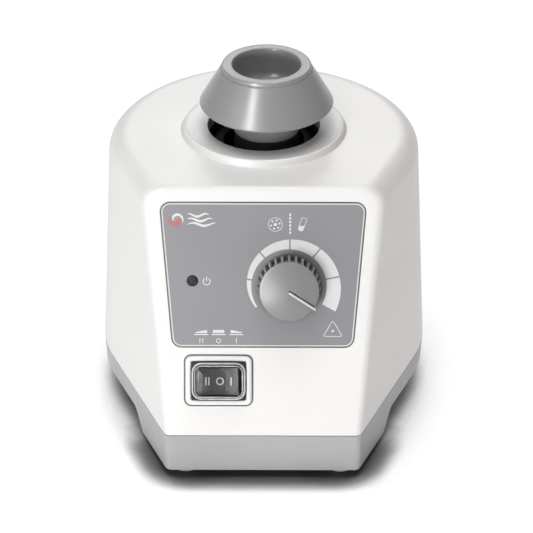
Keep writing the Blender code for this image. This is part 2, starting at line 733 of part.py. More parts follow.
def control_board(green, black, steel, panel):
    outline = [
        (BOARD_LOW_U, BOARD_LOW_V),
        (BOARD_HIGH_U, BOARD_LOW_V),
        (BOARD_HIGH_U, BOARD_HIGH_V),
        (BOARD_LOW_U, BOARD_HIGH_V),
    ]
    low = BOARD_TOP_W - BOARD_THICKNESS
    board = finish("control_board", prism(outline, low, BOARD_TOP_W), green, panel)
    board_screws(board, steel, panel)
    high = low - GAP
    part_low = high - BOARD_PART_HEIGHT
    capacitor = rod(CAPACITOR_RADIUS, part_low, high, 16)
    finish("filter_capacitor", capacitor, black, panel, (*CAPACITOR_PLACE, 0.0))
    finish("speed_triac", block(TRIAC_SIZE, part_low, high, TRIAC_PLACE), black, panel)
    finish("triac_heat_sink", block(HEAT_SINK_SIZE, part_low, high, HEAT_SINK_PLACE), steel, panel)


def switch_body(black, axis):
    """Snap-in body with its bezel, three contact lugs and the well that the rocker tilts in."""
    bezel = finish("switch_body", block(SWITCH_BEZEL, -0.6, SWITCH_BEZEL_TOP_W), black, axis)
    join(bezel, tool("switch_box", block(SWITCH_BODY, -SWITCH_BODY_DEPTH, 0.2), axis))
    lug_low = -SWITCH_BODY_DEPTH - SWITCH_LUG_LENGTH
    for number in range(3):
        place = (SWITCH_LUG_PITCH * (number - 1), 0.0)
        lug = block(SWITCH_LUG, lug_low, -SWITCH_BODY_DEPTH + 1.0, place)
        join(bezel, tool("switch_lug_%d" % (number + 1), lug, axis))
    cut(bezel, tool("switch_well", block(SWITCH_WELL, -SWITCH_WELL_DEPTH, 5.0), axis))


def rocker(black, axis):
    """Three-position rocker with a dished top, turned about its pivot below the bezel."""
    side_view = [(-ROCKER_HALF, ROCKER_END_W), (-6.8, -1.6), (-3.0, -4.6), (3.0, -4.6), (6.8, -1.6)]
    for k in range(4):
        share = 1.0 - k / 2.0
        side_view.append((ROCKER_HALF * share, ROCKER_END_W - ROCKER_DISH * (1.0 - share * share)))
    front = [(u, -ROCKER_WIDTH / 2.0, w - ROCKER_PIVOT_W) for u, w in side_view]
    back = [(u, ROCKER_WIDTH / 2.0, w - ROCKER_PIVOT_W) for u, w in side_view]
    finish("rocker", loft([front, back]), black, axis, (0.0, 0.0, ROCKER_PIVOT_W))


def rocker_cap(clear, axis):
    """Clear splash cap that stands on the bezel, open below."""
    foot = SWITCH_BEZEL_TOP_W + GAP
    inside = [(1.7, CAP_TOP_W - CAP_WALL), (CAP_WALL + 0.2, CAP_TOP_W - 1.3), (CAP_WALL, foot)]
    outside = [(0.0, foot), (0.3, CAP_TOP_W - 1.2), (0.7, CAP_TOP_W - 0.35), (1.6, CAP_TOP_W)]
    rings = []
    for shrink, w in inside + outside:
        outline = rounded_rectangle(grown(CAP_SIZE, -shrink), CAP_CORNER - shrink)
        rings.append([(x, y, w) for x, y in outline])
    finish("rocker_cap", loft(rings), clear, axis)


def mains_inlet(black, brass):
    """Three-pin appliance inlet seated on the rear wall; its mouth faces +Y."""
    turned = empty("inlet_axis", (0.0, INLET_SEAT_Y, INLET_Z), -math.pi / 2.0)
    flange = block(INLET_FLANGE, GAP, INLET_FLANGE_THICKNESS)
    body = finish("mains_inlet", flange, black, turned)
    x, y = INLET_MOUTH[0] / 2.0, INLET_MOUTH[1] / 2.0
    cut_x, cut_y = x - INLET_MOUTH_CHAMFER, y - INLET_MOUTH_CHAMFER
    outline = [(-x, -y), (x, -y), (x, cut_y), (cut_x, y), (-cut_x, y), (-x, cut_y)]
    mouth = prism(outline, INLET_FLANGE_THICKNESS - INLET_MOUTH_DEPTH, 6.0)
    join(body, tool("inlet_box", block(INLET_BODY, -INLET_BODY_DEPTH, 1.0), turned))
    cut(body, tool("inlet_mouth", mouth, turned))
    for name, place in INLET_PIN_PLACES.items():
        slot = block(grown(INLET_PIN, GAP), INLET_PIN_ENDS[0] - 1.0, 0.0, place)
        cut(body, tool("pin_slot_" + name, slot, turned))
        finish("inlet_pin_" + name, block(INLET_PIN, *INLET_PIN_ENDS, place), brass, turned)


# ---------------------------------------------------------------- drive carriage


def post_places():
    sides = ((-1, -1), (1, -1), (1, 1), (-1, 1))
    return [(x * POST_SPREAD, DRIVE_Y + y * POST_SPREAD) for x, y in sides]


def spring_coil(name, steel, place):
    """Compression spring between the base floor and the motor plate."""
    low = BASE_FLOOR_TOP_Z + GAP + SPRING_WIRE_RADIUS
    high = PLATE_BOTTOM_Z - GAP - SPRING_WIRE_RADIUS
    steps_per_turn = 10
    count = SPRING_TURNS * steps_per_turn
    curve = bpy.data.curves.new(name, "CURVE")
    curve.dimensions = "3D"
    curve.bevel_depth = SPRING_WIRE_RADIUS * MM
    curve.bevel_resolution = 1
    curve.use_fill_caps = True
    line = curve.splines.new("POLY")
    line.points.add(count)
    for i in range(count + 1):
        angle = 2.0 * math.pi * i / steps_per_turn
        share = i / count
        eased = 0.5 - 0.5 * math.cos(math.pi * share)  # flattens the end turns
        height = low + (high - low) * (0.7 * share + 0.3 * eased)
        point = Vector((SPRING_RADIUS * math.cos(angle), SPRING_RADIUS * math.sin(angle), height)) * MM
        line.points[i].co = (*point, 1.0)
    made = bpy.data.objects.new(name, curve)
    bpy.context.scene.collection.objects.link(made)
    made.location = Vector((place[0], place[1], 0.0)) * MM
    curve.materials.append(steel)


def carriage(steel, plate_metal):
    outline = rounded_rectangle((2.0 * PLATE_HALF, 2.0 * PLATE_HALF), 6.0, 3)
    sheet = prism(outline, PLATE_BOTTOM_Z, PLATE_TOP_Z)
    plate = finish("motor_plate", sheet, plate_metal, place=(0.0, DRIVE_Y, 0.0))
    head_low = PLATE_TOP_Z + GAP
    head_radius, head_height = GUIDE_HEAD
    for number, (x, y) in enumerate(post_places(), 1):
        hole = rod(GUIDE_RADIUS + 0.4, 20.0, 40.0, 14)
        cut(plate, tool("plate_hole_%d" % number, hole, place=(x, y, 0.0)))
        spring_coil("carriage_spring_%d" % number, steel, (x, y))
        profile = [
            (POST_BORE_RADIUS - GAP, BASE_FLOOR_TOP_Z + 2.0),
            (POST_BORE_RADIUS - GAP, POST_TOP_Z + GAP),
            (GUIDE_RADIUS, POST_TOP_Z + GAP),
            (GUIDE_RADIUS, head_low),
            (head_radius, head_low),
            (head_radius, head_low + head_height),
        ]
        finish("carriage_screw_%d" % number, lathe(profile, 14), steel, place=(x, y, 0.0))


def motor_case(steel, axis):
    """End cap and deep-drawn can, each with a neck that holds a bearing."""
    seat = BEARING_OUTER + GAP
    neck, hole = MOTOR_NECK_RADIUS, SHAFT_HOLE_RADIUS
    low, cap_top = MOTOR_BOTTOM_Z, MOTOR_BOTTOM_Z + END_CAP_THICKNESS
    end_cap = [
        (hole, low),
        (MOTOR_RADIUS, low),
        (MOTOR_RADIUS, cap_top),
        (neck, cap_top),
        (neck, MOTOR_NECK_LOW_Z),
        (seat, MOTOR_NECK_LOW_Z),
        (seat, LOWER_BEARING_Z[0] - GAP),
        (hole, LOWER_BEARING_Z[0] - GAP),
    ]
    finish("motor_end_cap", lathe(end_cap, 28, closed=True), steel, axis)
    neck_roof = UPPER_BEARING_Z[1] + 0.8
    neck_foot = UPPER_BEARING_Z[0] - 0.8
    inner = MOTOR_RADIUS - MOTOR_WALL
    can = [
        (MOTOR_RADIUS, cap_top + GAP),
        (MOTOR_RADIUS, MOTOR_TOP_Z),
        (neck, MOTOR_TOP_Z),
        (neck, MOTOR_NECK_TOP_Z),
        (hole, MOTOR_NECK_TOP_Z),
        (hole, neck_roof),
        (seat, neck_roof),
        (seat, neck_foot),
        (neck, neck_foot),
        (neck, MOTOR_TOP_Z - MOTOR_ROOF),
        (inner, MOTOR_TOP_Z - MOTOR_ROOF),
        (inner, cap_top + GAP),
    ]
    finish("motor_can", lathe(can, 28, closed=True), steel, axis)


def stator_core(dark, axis):
    """Laminated ring whose bore has a slot between each pole and the next."""
    steps = 32
    outer = MOTOR_RADIUS - MOTOR_WALL - 0.4
    low, high = CORE_Z
    rings = []
    for radius, z in ((outer, low), (outer, high), (None, high), (None, low)):
        ring = []
        for i in range(steps):
            angle = 2.0 * math.pi * (i + 0.5) / steps
            in_slot = (i * STATOR_POLES * 2 // steps) % 2 == 1
            bore = STATOR_SLOT_RADIUS if in_slot else STATOR_BORE_RADIUS
            reach = radius or bore
            ring.append((reach * math.cos(angle), reach * math.sin(angle), z))
        rings.append(ring)
    finish("stator_core", loft(rings, closed=True), dark, axis)


def motor(steel, copper, dark, axis):
    motor_case(steel, axis)
    for level, heights in (("lower", LOWER_BEARING_Z), ("upper", UPPER_BEARING_Z)):
        bearing = tube(BEARING_INNER, BEARING_OUTER, *heights, 24)
        finish("motor_bearing_" + level, bearing, steel, axis)
    finish("rotor_core", tube(BEARING_INNER, ROTOR_RADIUS, *CORE_Z, 28), dark, axis)
    stator_core(dark, axis)
    for number, heights in enumerate(WINDING_Z, 1):
        winding = tube(WINDING_INNER, WINDING_OUTER, *heights, 28)
        finish("stator_winding_%d" % number, winding, copper, axis)


def arc(radius, start, end, steps):
    points = []
    for k in range(steps + 1):
        angle = start + (end - start) * k / steps
        points.append((radius * math.cos(angle), radius * math.sin(angle)))
    return points


def drive_head(steel, zinc, axis):
    """Shaft, the hub with its offset pin, and the weight that balances the cup."""
    finish("motor_shaft", rod(SHAFT_RADIUS, SHAFT_BOTTOM_Z, SHAFT_TOP_Z, 20), steel, axis)
    hub = finish("eccentric_hub", rod(HUB_RADIUS, HUB_BOTTOM_Z, HUB_TOP_Z, 28), zinc, axis)
    pin_place = (CUP_X, CUP_Y - DRIVE_Y, 0.0)
    pin = rod(SHAFT_RADIUS, HUB_TOP_Z - 1.0, HUB_PIN_TOP_Z, 20)
    bore = rod(SHAFT_RADIUS + GAP, HUB_BOTTOM_Z - 2.0, SHAFT_TOP_Z + GAP, 20)
    join(hub, tool("hub_pin", pin, axis, pin_place))
    cut(hub, tool("hub_bore", bore, axis))
    start = ORBIT_REST + math.pi - WEIGHT_SPREAD / 2.0
    end = start + WEIGHT_SPREAD
    outline = arc(WEIGHT_RADIUS, start, end, 12) + arc(HUB_RADIUS + GAP, end, start, 12)
    finish("balance_weight", prism(outline, *WEIGHT_Z), steel, axis)


def cup_holder(black, steel, axis):
    """Collar around the head bearing with a stem up into the cup."""
    bearing_low, bearing_high = HEAD_BEARING_Z
    seat = HEAD_BEARING_OUTER + GAP
    stem = HOLDER_STEM_RADIUS
    profile = [
        (seat, bearing_low - 0.4),
        (HOLDER_OUTER - 0.2, bearing_low - 0.4),
        (HOLDER_OUTER, bearing_low + 0.4),
        (HOLDER_OUTER - 0.4, CUP_BOTTOM_Z - GAP),
        (stem, CUP_BOTTOM_Z - GAP),
        (stem, HOLDER_STEM_TOP_Z - 0.6),
        (stem - 1.0, HOLDER_STEM_TOP_Z),
        (2.6, HOLDER_STEM_TOP_Z),
        (2.6, HUB_PIN_TOP_Z + 1.2),
        (stem, HUB_PIN_TOP_Z + 1.2),
        (stem, bearing_high + 0.6),
        (seat, bearing_high + 0.6),
    ]
    finish("cup_holder", lathe(profile, 24, closed=True), black, axis)
    bearing = tube(BEARING_INNER, HEAD_BEARING_OUTER, bearing_low, bearing_high, 24)
    finish("cup_bearing", bearing, steel, axis)


def rubber_cup(grey, axis):
    """Cone with a rounded rim and a deep round bowl, and the stem under it."""
    socket = HOLDER_STEM_RADIUS + GAP
    stem, flare = CUP_STEM_RADIUS, CUP_FLARE_RADIUS
    rim, bore = CUP_RIM_RADIUS, CUP_BORE_RADIUS
    profile = [
        (socket, CUP_BOTTOM_Z),
        (stem - 1.6, CUP_BOTTOM_Z),
        (stem, CUP_BOTTOM_Z + 2.0),
        (stem + 0.7, CUP_BOTTOM_Z + 6.5),
        (16.5, CUP_FLARE_Z - 2.7),
        (flare - 0.7, CUP_FLARE_Z - 0.7),
        (flare, CUP_FLARE_Z),
        (rim + 0.55, HEIGHT - 1.9),
        (rim, HEIGHT - 1.5),
        (rim - 0.35, HEIGHT),
        (bore + 0.4, HEIGHT),
        (bore, HEIGHT - 0.5),
        (bore, CUP_FLOOR_Z + 4.4),
        (bore - 1.7, CUP_FLOOR_Z + 2.0),
        (6.0, CUP_FLOOR_Z + 0.3),
        (1.2, CUP_FLOOR_Z),
        (1.2, CUP_SOCKET_Z),
        (socket, CUP_SOCKET_Z),
    ]
    finish("rubber_cup", lathe(profile, 40, closed=True), grey, axis)


def sealing_boot(black, axis):
    """Bellows from the motor up around the cup holder; it keeps spills out of the drive."""
    wall, lip_top = BOOT_WALL, BOOT_LIP_Z + BOOT_WALL
    crown = []
    for k in range(BOOT_FOLDS * 2 + 1):
        share = k / (BOOT_FOLDS * 2)
        radius = BOOT_WIDE_RADIUS + (BOOT_NARROW_RADIUS - BOOT_WIDE_RADIUS) * share
        z = BOOT_SHOULDER_Z + (BOOT_LIP_Z - BOOT_SHOULDER_Z) * share
        crown.append((radius, z + (0.9 if k % 2 else 0.0)))
    outside = [(BOOT_FOOT_RADIUS, BOOT_FOOT_Z), (BOOT_WIDE_RADIUS, BOOT_FOOT_Z)] + crown
    lip = [(BOOT_NARROW_RADIUS, lip_top), (BOOT_LIP_RADIUS, lip_top), (BOOT_LIP_RADIUS, BOOT_LIP_Z)]
    underside = [(radius - wall, z - 0.5 * wall) for radius, z in reversed(crown)]
    inside = [(BOOT_WIDE_RADIUS - wall, BOOT_FOOT_Z + wall), (BOOT_FOOT_RADIUS, BOOT_FOOT_Z + wall)]
    profile = outside + lip + underside + inside
    finish("sealing_boot", lathe(profile, 28, closed=True), black, axis)


def touch_switch(black, red):
    """Microswitch under the motor plate, closed when the cup is pressed."""
    place = (0.0, TOUCH_SWITCH_Y, 0.0)
    low = BASE_FLOOR_TOP_Z + GAP
    box = block(TOUCH_SWITCH_SIZE, low, low + TOUCH_SWITCH_HEIGHT)
    body = finish("touch_switch", box, black, place=place)
    hole = rod(TOUCH_PLUNGER_RADIUS + GAP, low + 4.4, 40.0, 12)
    cut(body, tool("plunger_hole", hole, place=place))
    plunger = rod(TOUCH_PLUNGER_RADIUS, low + 6.4, PLATE_BOTTOM_Z - GAP, 12)
    finish("touch_plunger", plunger, red, place=place)


def build():
    clear_scene()
    white = material("white_housing", (0.86, 0.86, 0.85), 0.38)
    base_grey = material("base_grey", (0.44, 0.44, 0.44), 0.48)
    foot_grey = material("foot_rubber", (0.50, 0.50, 0.49), 0.80)
    overlay_grey = material("overlay_grey", (0.34, 0.34, 0.36), 0.42)
    knob_grey = material("knob_grey", (0.34, 0.35, 0.35), 0.40)
    print_white = material("pointer_white", (0.85, 0.86, 0.85), 0.40)
    cup_grey = material("cup_rubber", (0.25, 0.25, 0.26), 0.55)
    black = material("black_plastic", (0.02, 0.02, 0.02), 0.35)
    seal_black = material("seal_rubber", (0.02, 0.02, 0.02), 0.70)
    clear = material("clear_silicone", (0.9, 0.9, 0.9), 0.10, alpha=0.30)
    lens = material("led_lens", (0.05, 0.02, 0.02), 0.15)
    board_green = material("board_green", (0.03, 0.18, 0.08), 0.50)
    red = material("signal_red", (0.45, 0.03, 0.03), 0.35)
    steel = material("plated_steel", (0.62, 0.62, 0.62), 0.32, 1.0)
    plate_metal = material("plate_steel", (0.50, 0.51, 0.53), 0.45, 1.0)
    dark_iron = material("core_iron", (0.18, 0.18, 0.19), 0.55, 0.8)
    copper = material("winding_copper", (0.72, 0.34, 0.16), 0.35, 1.0)
    brass = material("contact_brass", (0.80, 0.66, 0.38), 0.30, 1.0)
    zinc = material("hub_zinc", (0.56, 0.56, 0.57), 0.40, 1.0)

    panel = empty("panel_frame", (0.0, FRONT_Y, SEAM_Z), math.pi / 2.0 - PANEL_TILT)
    dial_axis = empty("dial_axis", (DIAL_U, DIAL_V, 0.0))
    dial_axis.parent = panel
    switch_axis = empty("switch_axis", (SWITCH_U, SWITCH_V, 0.0))
    switch_axis.parent = panel
    drive_axis = empty("drive_axis", (0.0, DRIVE_Y, 0.0))
    cup_axis = empty("cup_axis", (CUP_X, CUP_Y, 0.0))

    upper_housing(white, panel, drive_axis)
    base_casting(base_grey)
    feet(foot_grey)
    housing_screws(steel)
    overlay(overlay_grey, panel)
    speed_knob(knob_grey, print_white, dial_axis)
    potentiometer(black, brass, steel, panel, dial_axis)
    control_board(board_green, black, steel, panel)
    power_light(red, lens, panel)
    switch_body(black, switch_axis)
    rocker(black, switch_axis)
    rocker_cap(clear, switch_axis)
    mains_inlet(black, brass)
    carriage(steel, plate_metal)
    motor(steel, copper, dark_iron, drive_axis)
    drive_head(steel, zinc, drive_axis)
    cup_holder(seal_black, steel, cup_axis)
    rubber_cup(cup_grey, cup_axis)
    sealing_boot(seal_black, drive_axis)
    touch_switch(black, red)


build()
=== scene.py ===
"""Looks of a bench vortex mixer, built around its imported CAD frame.

Sizes below are millimetres and MM turns them into metres.  Places come from the frame.
"""

import json
import math

import bmesh
import bpy
from mathutils import Matrix, Vector

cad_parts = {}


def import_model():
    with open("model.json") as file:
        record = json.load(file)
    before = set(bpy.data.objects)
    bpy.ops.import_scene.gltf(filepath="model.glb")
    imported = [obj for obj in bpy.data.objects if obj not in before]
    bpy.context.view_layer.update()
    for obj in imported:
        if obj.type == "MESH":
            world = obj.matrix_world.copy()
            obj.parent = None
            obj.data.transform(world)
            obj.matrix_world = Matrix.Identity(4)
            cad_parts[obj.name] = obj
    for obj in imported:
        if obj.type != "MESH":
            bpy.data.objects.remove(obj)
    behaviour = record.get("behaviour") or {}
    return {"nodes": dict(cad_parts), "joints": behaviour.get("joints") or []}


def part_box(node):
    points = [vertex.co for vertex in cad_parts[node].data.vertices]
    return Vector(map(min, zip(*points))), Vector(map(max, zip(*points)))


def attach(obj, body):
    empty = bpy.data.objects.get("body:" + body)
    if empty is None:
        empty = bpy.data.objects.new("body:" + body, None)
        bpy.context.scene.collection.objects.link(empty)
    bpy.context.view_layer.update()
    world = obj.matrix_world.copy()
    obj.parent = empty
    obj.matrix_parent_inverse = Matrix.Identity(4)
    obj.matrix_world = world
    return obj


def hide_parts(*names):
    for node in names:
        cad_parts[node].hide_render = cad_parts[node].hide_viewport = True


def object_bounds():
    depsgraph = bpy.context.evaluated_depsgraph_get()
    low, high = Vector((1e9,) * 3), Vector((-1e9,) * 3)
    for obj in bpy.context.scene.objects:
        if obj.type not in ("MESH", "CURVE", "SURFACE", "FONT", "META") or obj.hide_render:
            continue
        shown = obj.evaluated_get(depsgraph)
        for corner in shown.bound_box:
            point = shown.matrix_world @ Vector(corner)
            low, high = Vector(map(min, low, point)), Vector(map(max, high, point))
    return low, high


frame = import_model()
CAD_LOW, CAD_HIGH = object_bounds()

MM = 0.001
TAU = 2.0 * math.pi
JOINTS = {joint["name"]: joint for joint in frame["joints"]}


def joint_place(name):
    return Vector(JOINTS[name]["pos_m"])


# Housing: one circle around the drive axis, two flat sides tangent to it and a sloping front.
HOUSING_LOW, HOUSING_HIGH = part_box("upper_housing")
DRIVE = Matrix.Translation((0.0, joint_place("shaft_spin").y, 0.0))
DRIVE_Y = joint_place("shaft_spin").y / MM
CUP_PLACE = joint_place("cup_counter_turn")
CUP = Matrix.Translation((CUP_PLACE.x, CUP_PLACE.y, 0.0))
SEAM_RADIUS = (CAD_HIGH.x - CAD_LOW.x) / 2.0 / MM
FRONT_Y = CAD_LOW.y / MM
GAP = 0.3
SEAM_Z = HOUSING_LOW.z / MM - GAP / 2.0
COLLAR_HEIGHT = 2.6
TOP_Z = HOUSING_HIGH.z / MM - COLLAR_HEIGHT
HEIGHT = CAD_HIGH.z / MM
SIDE_TURN = math.radians(21.3)
WALL_DRAFT = math.radians(2.5)
SHOULDER_RADIUS = 8.4
BROW_RADIUS = 2.0
CORNER_RADIUS = 2.7
CORNER_GROWTH = 0.020
WALL = 3.0
OPENING_RADIUS = 21.5
CORNERS = ("front_left", "front_right", "rear_left", "rear_right")

# Front panel: u runs right, v up the slope from the seam, w out of the panel.
PANEL_NORMAL = Vector(JOINTS["dial_turn"]["axis"]).normalized()
PANEL_TILT = math.atan2(PANEL_NORMAL.z, -PANEL_NORMAL.y)
PANEL_UP = PANEL_NORMAL.cross(Vector((1.0, 0.0, 0.0)))
PANEL = Matrix.Translation((0.0, FRONT_Y * MM, SEAM_Z * MM)) @ Matrix(
    ((1.0, 0.0, 0.0), PANEL_UP, PANEL_NORMAL)
).transposed().to_4x4()


def on_panel(world_point):
    """Panel coordinates, in millimetres, of a point given in metres."""
    return PANEL.inverted() @ world_point / MM


DIAL_U, DIAL_V, _ = on_panel(joint_place("dial_turn"))
DIAL = PANEL @ Matrix.Translation((DIAL_U * MM, DIAL_V * MM, 0.0))
SWITCH_U, SWITCH_V, _ = on_panel(joint_place("rocker_tilt"))
SWITCH = PANEL @ Matrix.Translation((SWITCH_U * MM, SWITCH_V * MM, 0.0))
LED_LOW, LED_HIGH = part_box("led_light_pipe")
LED_U, LED_V = -26.5, 59.7
LED_PLAY = 0.15
LED_RADIUS = (LED_HIGH.x - LED_LOW.x) / 2.0 / MM + LED_PLAY
LED = PANEL @ Matrix.Translation((LED_U * MM, LED_V * MM, 0.0))

OVERLAY_TOP_V, OVERLAY_BOTTOM_V = 89.8, 34.1
OVERLAY_TOP_HALF, OVERLAY_BOTTOM_HALF = 39.1, 34.3
OVERLAY_CORNER = 3.9
OVERLAY_POCKET = 0.7
OVERLAY_TOP_W = 0.1
PRINT_LOW = OVERLAY_TOP_W - 0.02
PRINT_HIGH = OVERLAY_TOP_W + 0.04

KNOB_RADIUS = 12.1
KNOB_FLUTES = 28
KNOB_TOP_W = 12.0
FLUTE_DEPTH = 1.5
POINTER_REST = math.radians(-33.0)

SWITCH_BEZEL = (20.7, 14.75)
SWITCH_FRAME_OUTSIDE = (25.6, 19.35)
SWITCH_FRAME_INSIDE = (20.5, 14.75)
ROCKER_HALF = 7.9

# ---- meshes


def skin(rings, closed=False):
    """Faces through rings of equal length, capped at both ends or closed on itself."""
    count = len(rings[0])
    points = [point for ring in rings for point in ring]
    faces = []
    for level in range(len(rings) if closed else len(rings) - 1):
        low = level * count
        high = (level + 1) % len(rings) * count
        for i in range(count):
            j = (i + 1) % count
            faces.append((low + i, low + j, high + j, high + i))
    if not closed:
        faces.append(tuple(reversed(range(count))))
        faces.append(tuple(range((len(rings) - 1) * count, len(rings) * count)))
    return points, faces


def merged(*shapes):
    points, faces = [], []
    for more_points, more_faces in shapes:
        start = len(points)
        points.extend(more_points)
        faces.extend(tuple(i + start for i in face) for face in more_faces)
    return points, faces


def moved(shape, matrix):
    points, faces = shape
    return [tuple(matrix @ Vector(point)) for point in points], faces


def filleted(corners, closed=False, steps=6):
    """A line of (x, y, radius) corners with each corner rounded to its radius."""
    line = []
    count = len(corners)
    for i, (x, y, radius) in enumerate(corners):
        at_end = not closed and i in (0, count - 1)
        if radius == 0.0 or at_end:
            line.append((x, y))
            continue
        here = Vector((x, y))
        before = Vector(corners[i - 1][:2]) - here
        after = Vector(corners[(i + 1) % count][:2]) - here
        half = before.angle(after) / 2.0
        reach = min(radius / math.tan(half), 0.49 * before.length, 0.49 * after.length)
        radius = reach * math.tan(half)
        before.normalize()
        after.normalize()
        centre = here + (before + after).normalized() * (radius / math.sin(half))
        first = here + before * reach - centre
        last = here + after * reach - centre
        start = math.atan2(first.y, first.x)
        sweep = (math.atan2(last.y, last.x) - start + math.pi) % TAU - math.pi
        for k in range(steps + 1):
            angle = start + sweep * k / steps
            line.append((centre.x + radius * math.cos(angle), centre.y + radius * math.sin(angle)))
    return line


def rectangle(size, corner, centre=(0.0, 0.0), steps=6):
    x, y = size[0] / 2.0, size[1] / 2.0
    corners = [(-x, -y), (x, -y), (x, y), (-x, y)]
    return filleted([(centre[0] + a, centre[1] + b, corner) for a, b in corners], True, steps)


def circle(radius, count=48, centre=(0.0, 0.0)):
    angles = [TAU * i / count for i in range(count)]
    x, y = centre
    return [(x + radius * math.cos(angle), y + radius * math.sin(angle)) for angle in angles]


def level(outline, height):
    return [(x, y, height) for x, y in outline]


def slab(outline, low, high):
    return skin([level(outline, low), level(outline, high)])


def band(outer, inner, low, high):
    """A flat frame between two outlines of equal length."""
    rings = [level(outer, low), level(outer, high), level(inner, high), level(inner, low)]
    return skin(rings, closed=True)


def lathe(profile, count=96, closed=False):
    """Turn (radius, z) points about the local Z axis."""
    return skin([level(circle(radius, count), z) for radius, z in profile], closed)


def mesh_object(name, shape, matrix):
    """A new object in metres; its shape is in the matrix's own frame, in millimetres."""
    points, faces = shape
    mesh = bpy.data.meshes.new(name)
    mesh.from_pydata([matrix @ (Vector(point) * MM) for point in points], [], faces)
    bm = bmesh.new()
    bm.from_mesh(mesh)
    bmesh.ops.recalc_face_normals(bm, faces=bm.faces)
    bm.to_mesh(mesh)
    bm.free()
    made = bpy.data.objects.new(name, mesh)
    bpy.context.scene.collection.objects.link(made)
    return made


def carved(made, steps):
    """Apply union and difference steps, given as (operation, shape, matrix), to an object's mesh."""
    tools = []
    for operation, shape, matrix in steps:
        tool = mesh_object("tool", shape, matrix)
        step = made.modifiers.new(operation, "BOOLEAN")
        step.operation = operation
        step.object = tool
        step.solver = "EXACT"
        tools.append(tool)
    ready = made.evaluated_get(bpy.context.evaluated_depsgraph_get())
    result = bpy.data.meshes.new_from_object(ready)
    made.modifiers.clear()
    made.data = result
    for tool in tools:
        bpy.data.objects.remove(tool)


def round_edges(made, width, angle=35.0):
    """Small rounded edges that catch the light, with clean shading on the flats."""
    bevel = made.modifiers.new("edge_round", "BEVEL")
    bevel.width = width * MM
    bevel.segments = 2
    bevel.limit_method = "ANGLE"
    bevel.angle_limit = math.radians(angle)
    bevel.harden_normals = False
    normals = made.modifiers.new("flat_shading", "WEIGHTED_NORMAL")
    normals.keep_sharp = True
    normals.weight = 60


def dress(made, look, body, nodes=(), edge=0.0, sharp=40.0):
    """Shade a finished mesh, put it on its body and hide the CAD nodes it stands for."""
    made.data.materials.clear()
    made.data.materials.append(LOOKS[look])
    made.data.shade_smooth()
    if edge:
        round_edges(made, edge)
    else:
        made.data.set_sharp_from_angle(angle=math.radians(sharp))
    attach(made, body)
    if nodes:
        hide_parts(*nodes)


def floor_spot(node):
    """The place on the floor under the middle of a CAD node."""
    low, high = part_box(node)
    centre = (low + high) / 2.0
    return Matrix.Translation((centre.x, centre.y, 0.0))


def box_size(node):
    low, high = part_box(node)
    return (high - low) / MM


# ---- materials


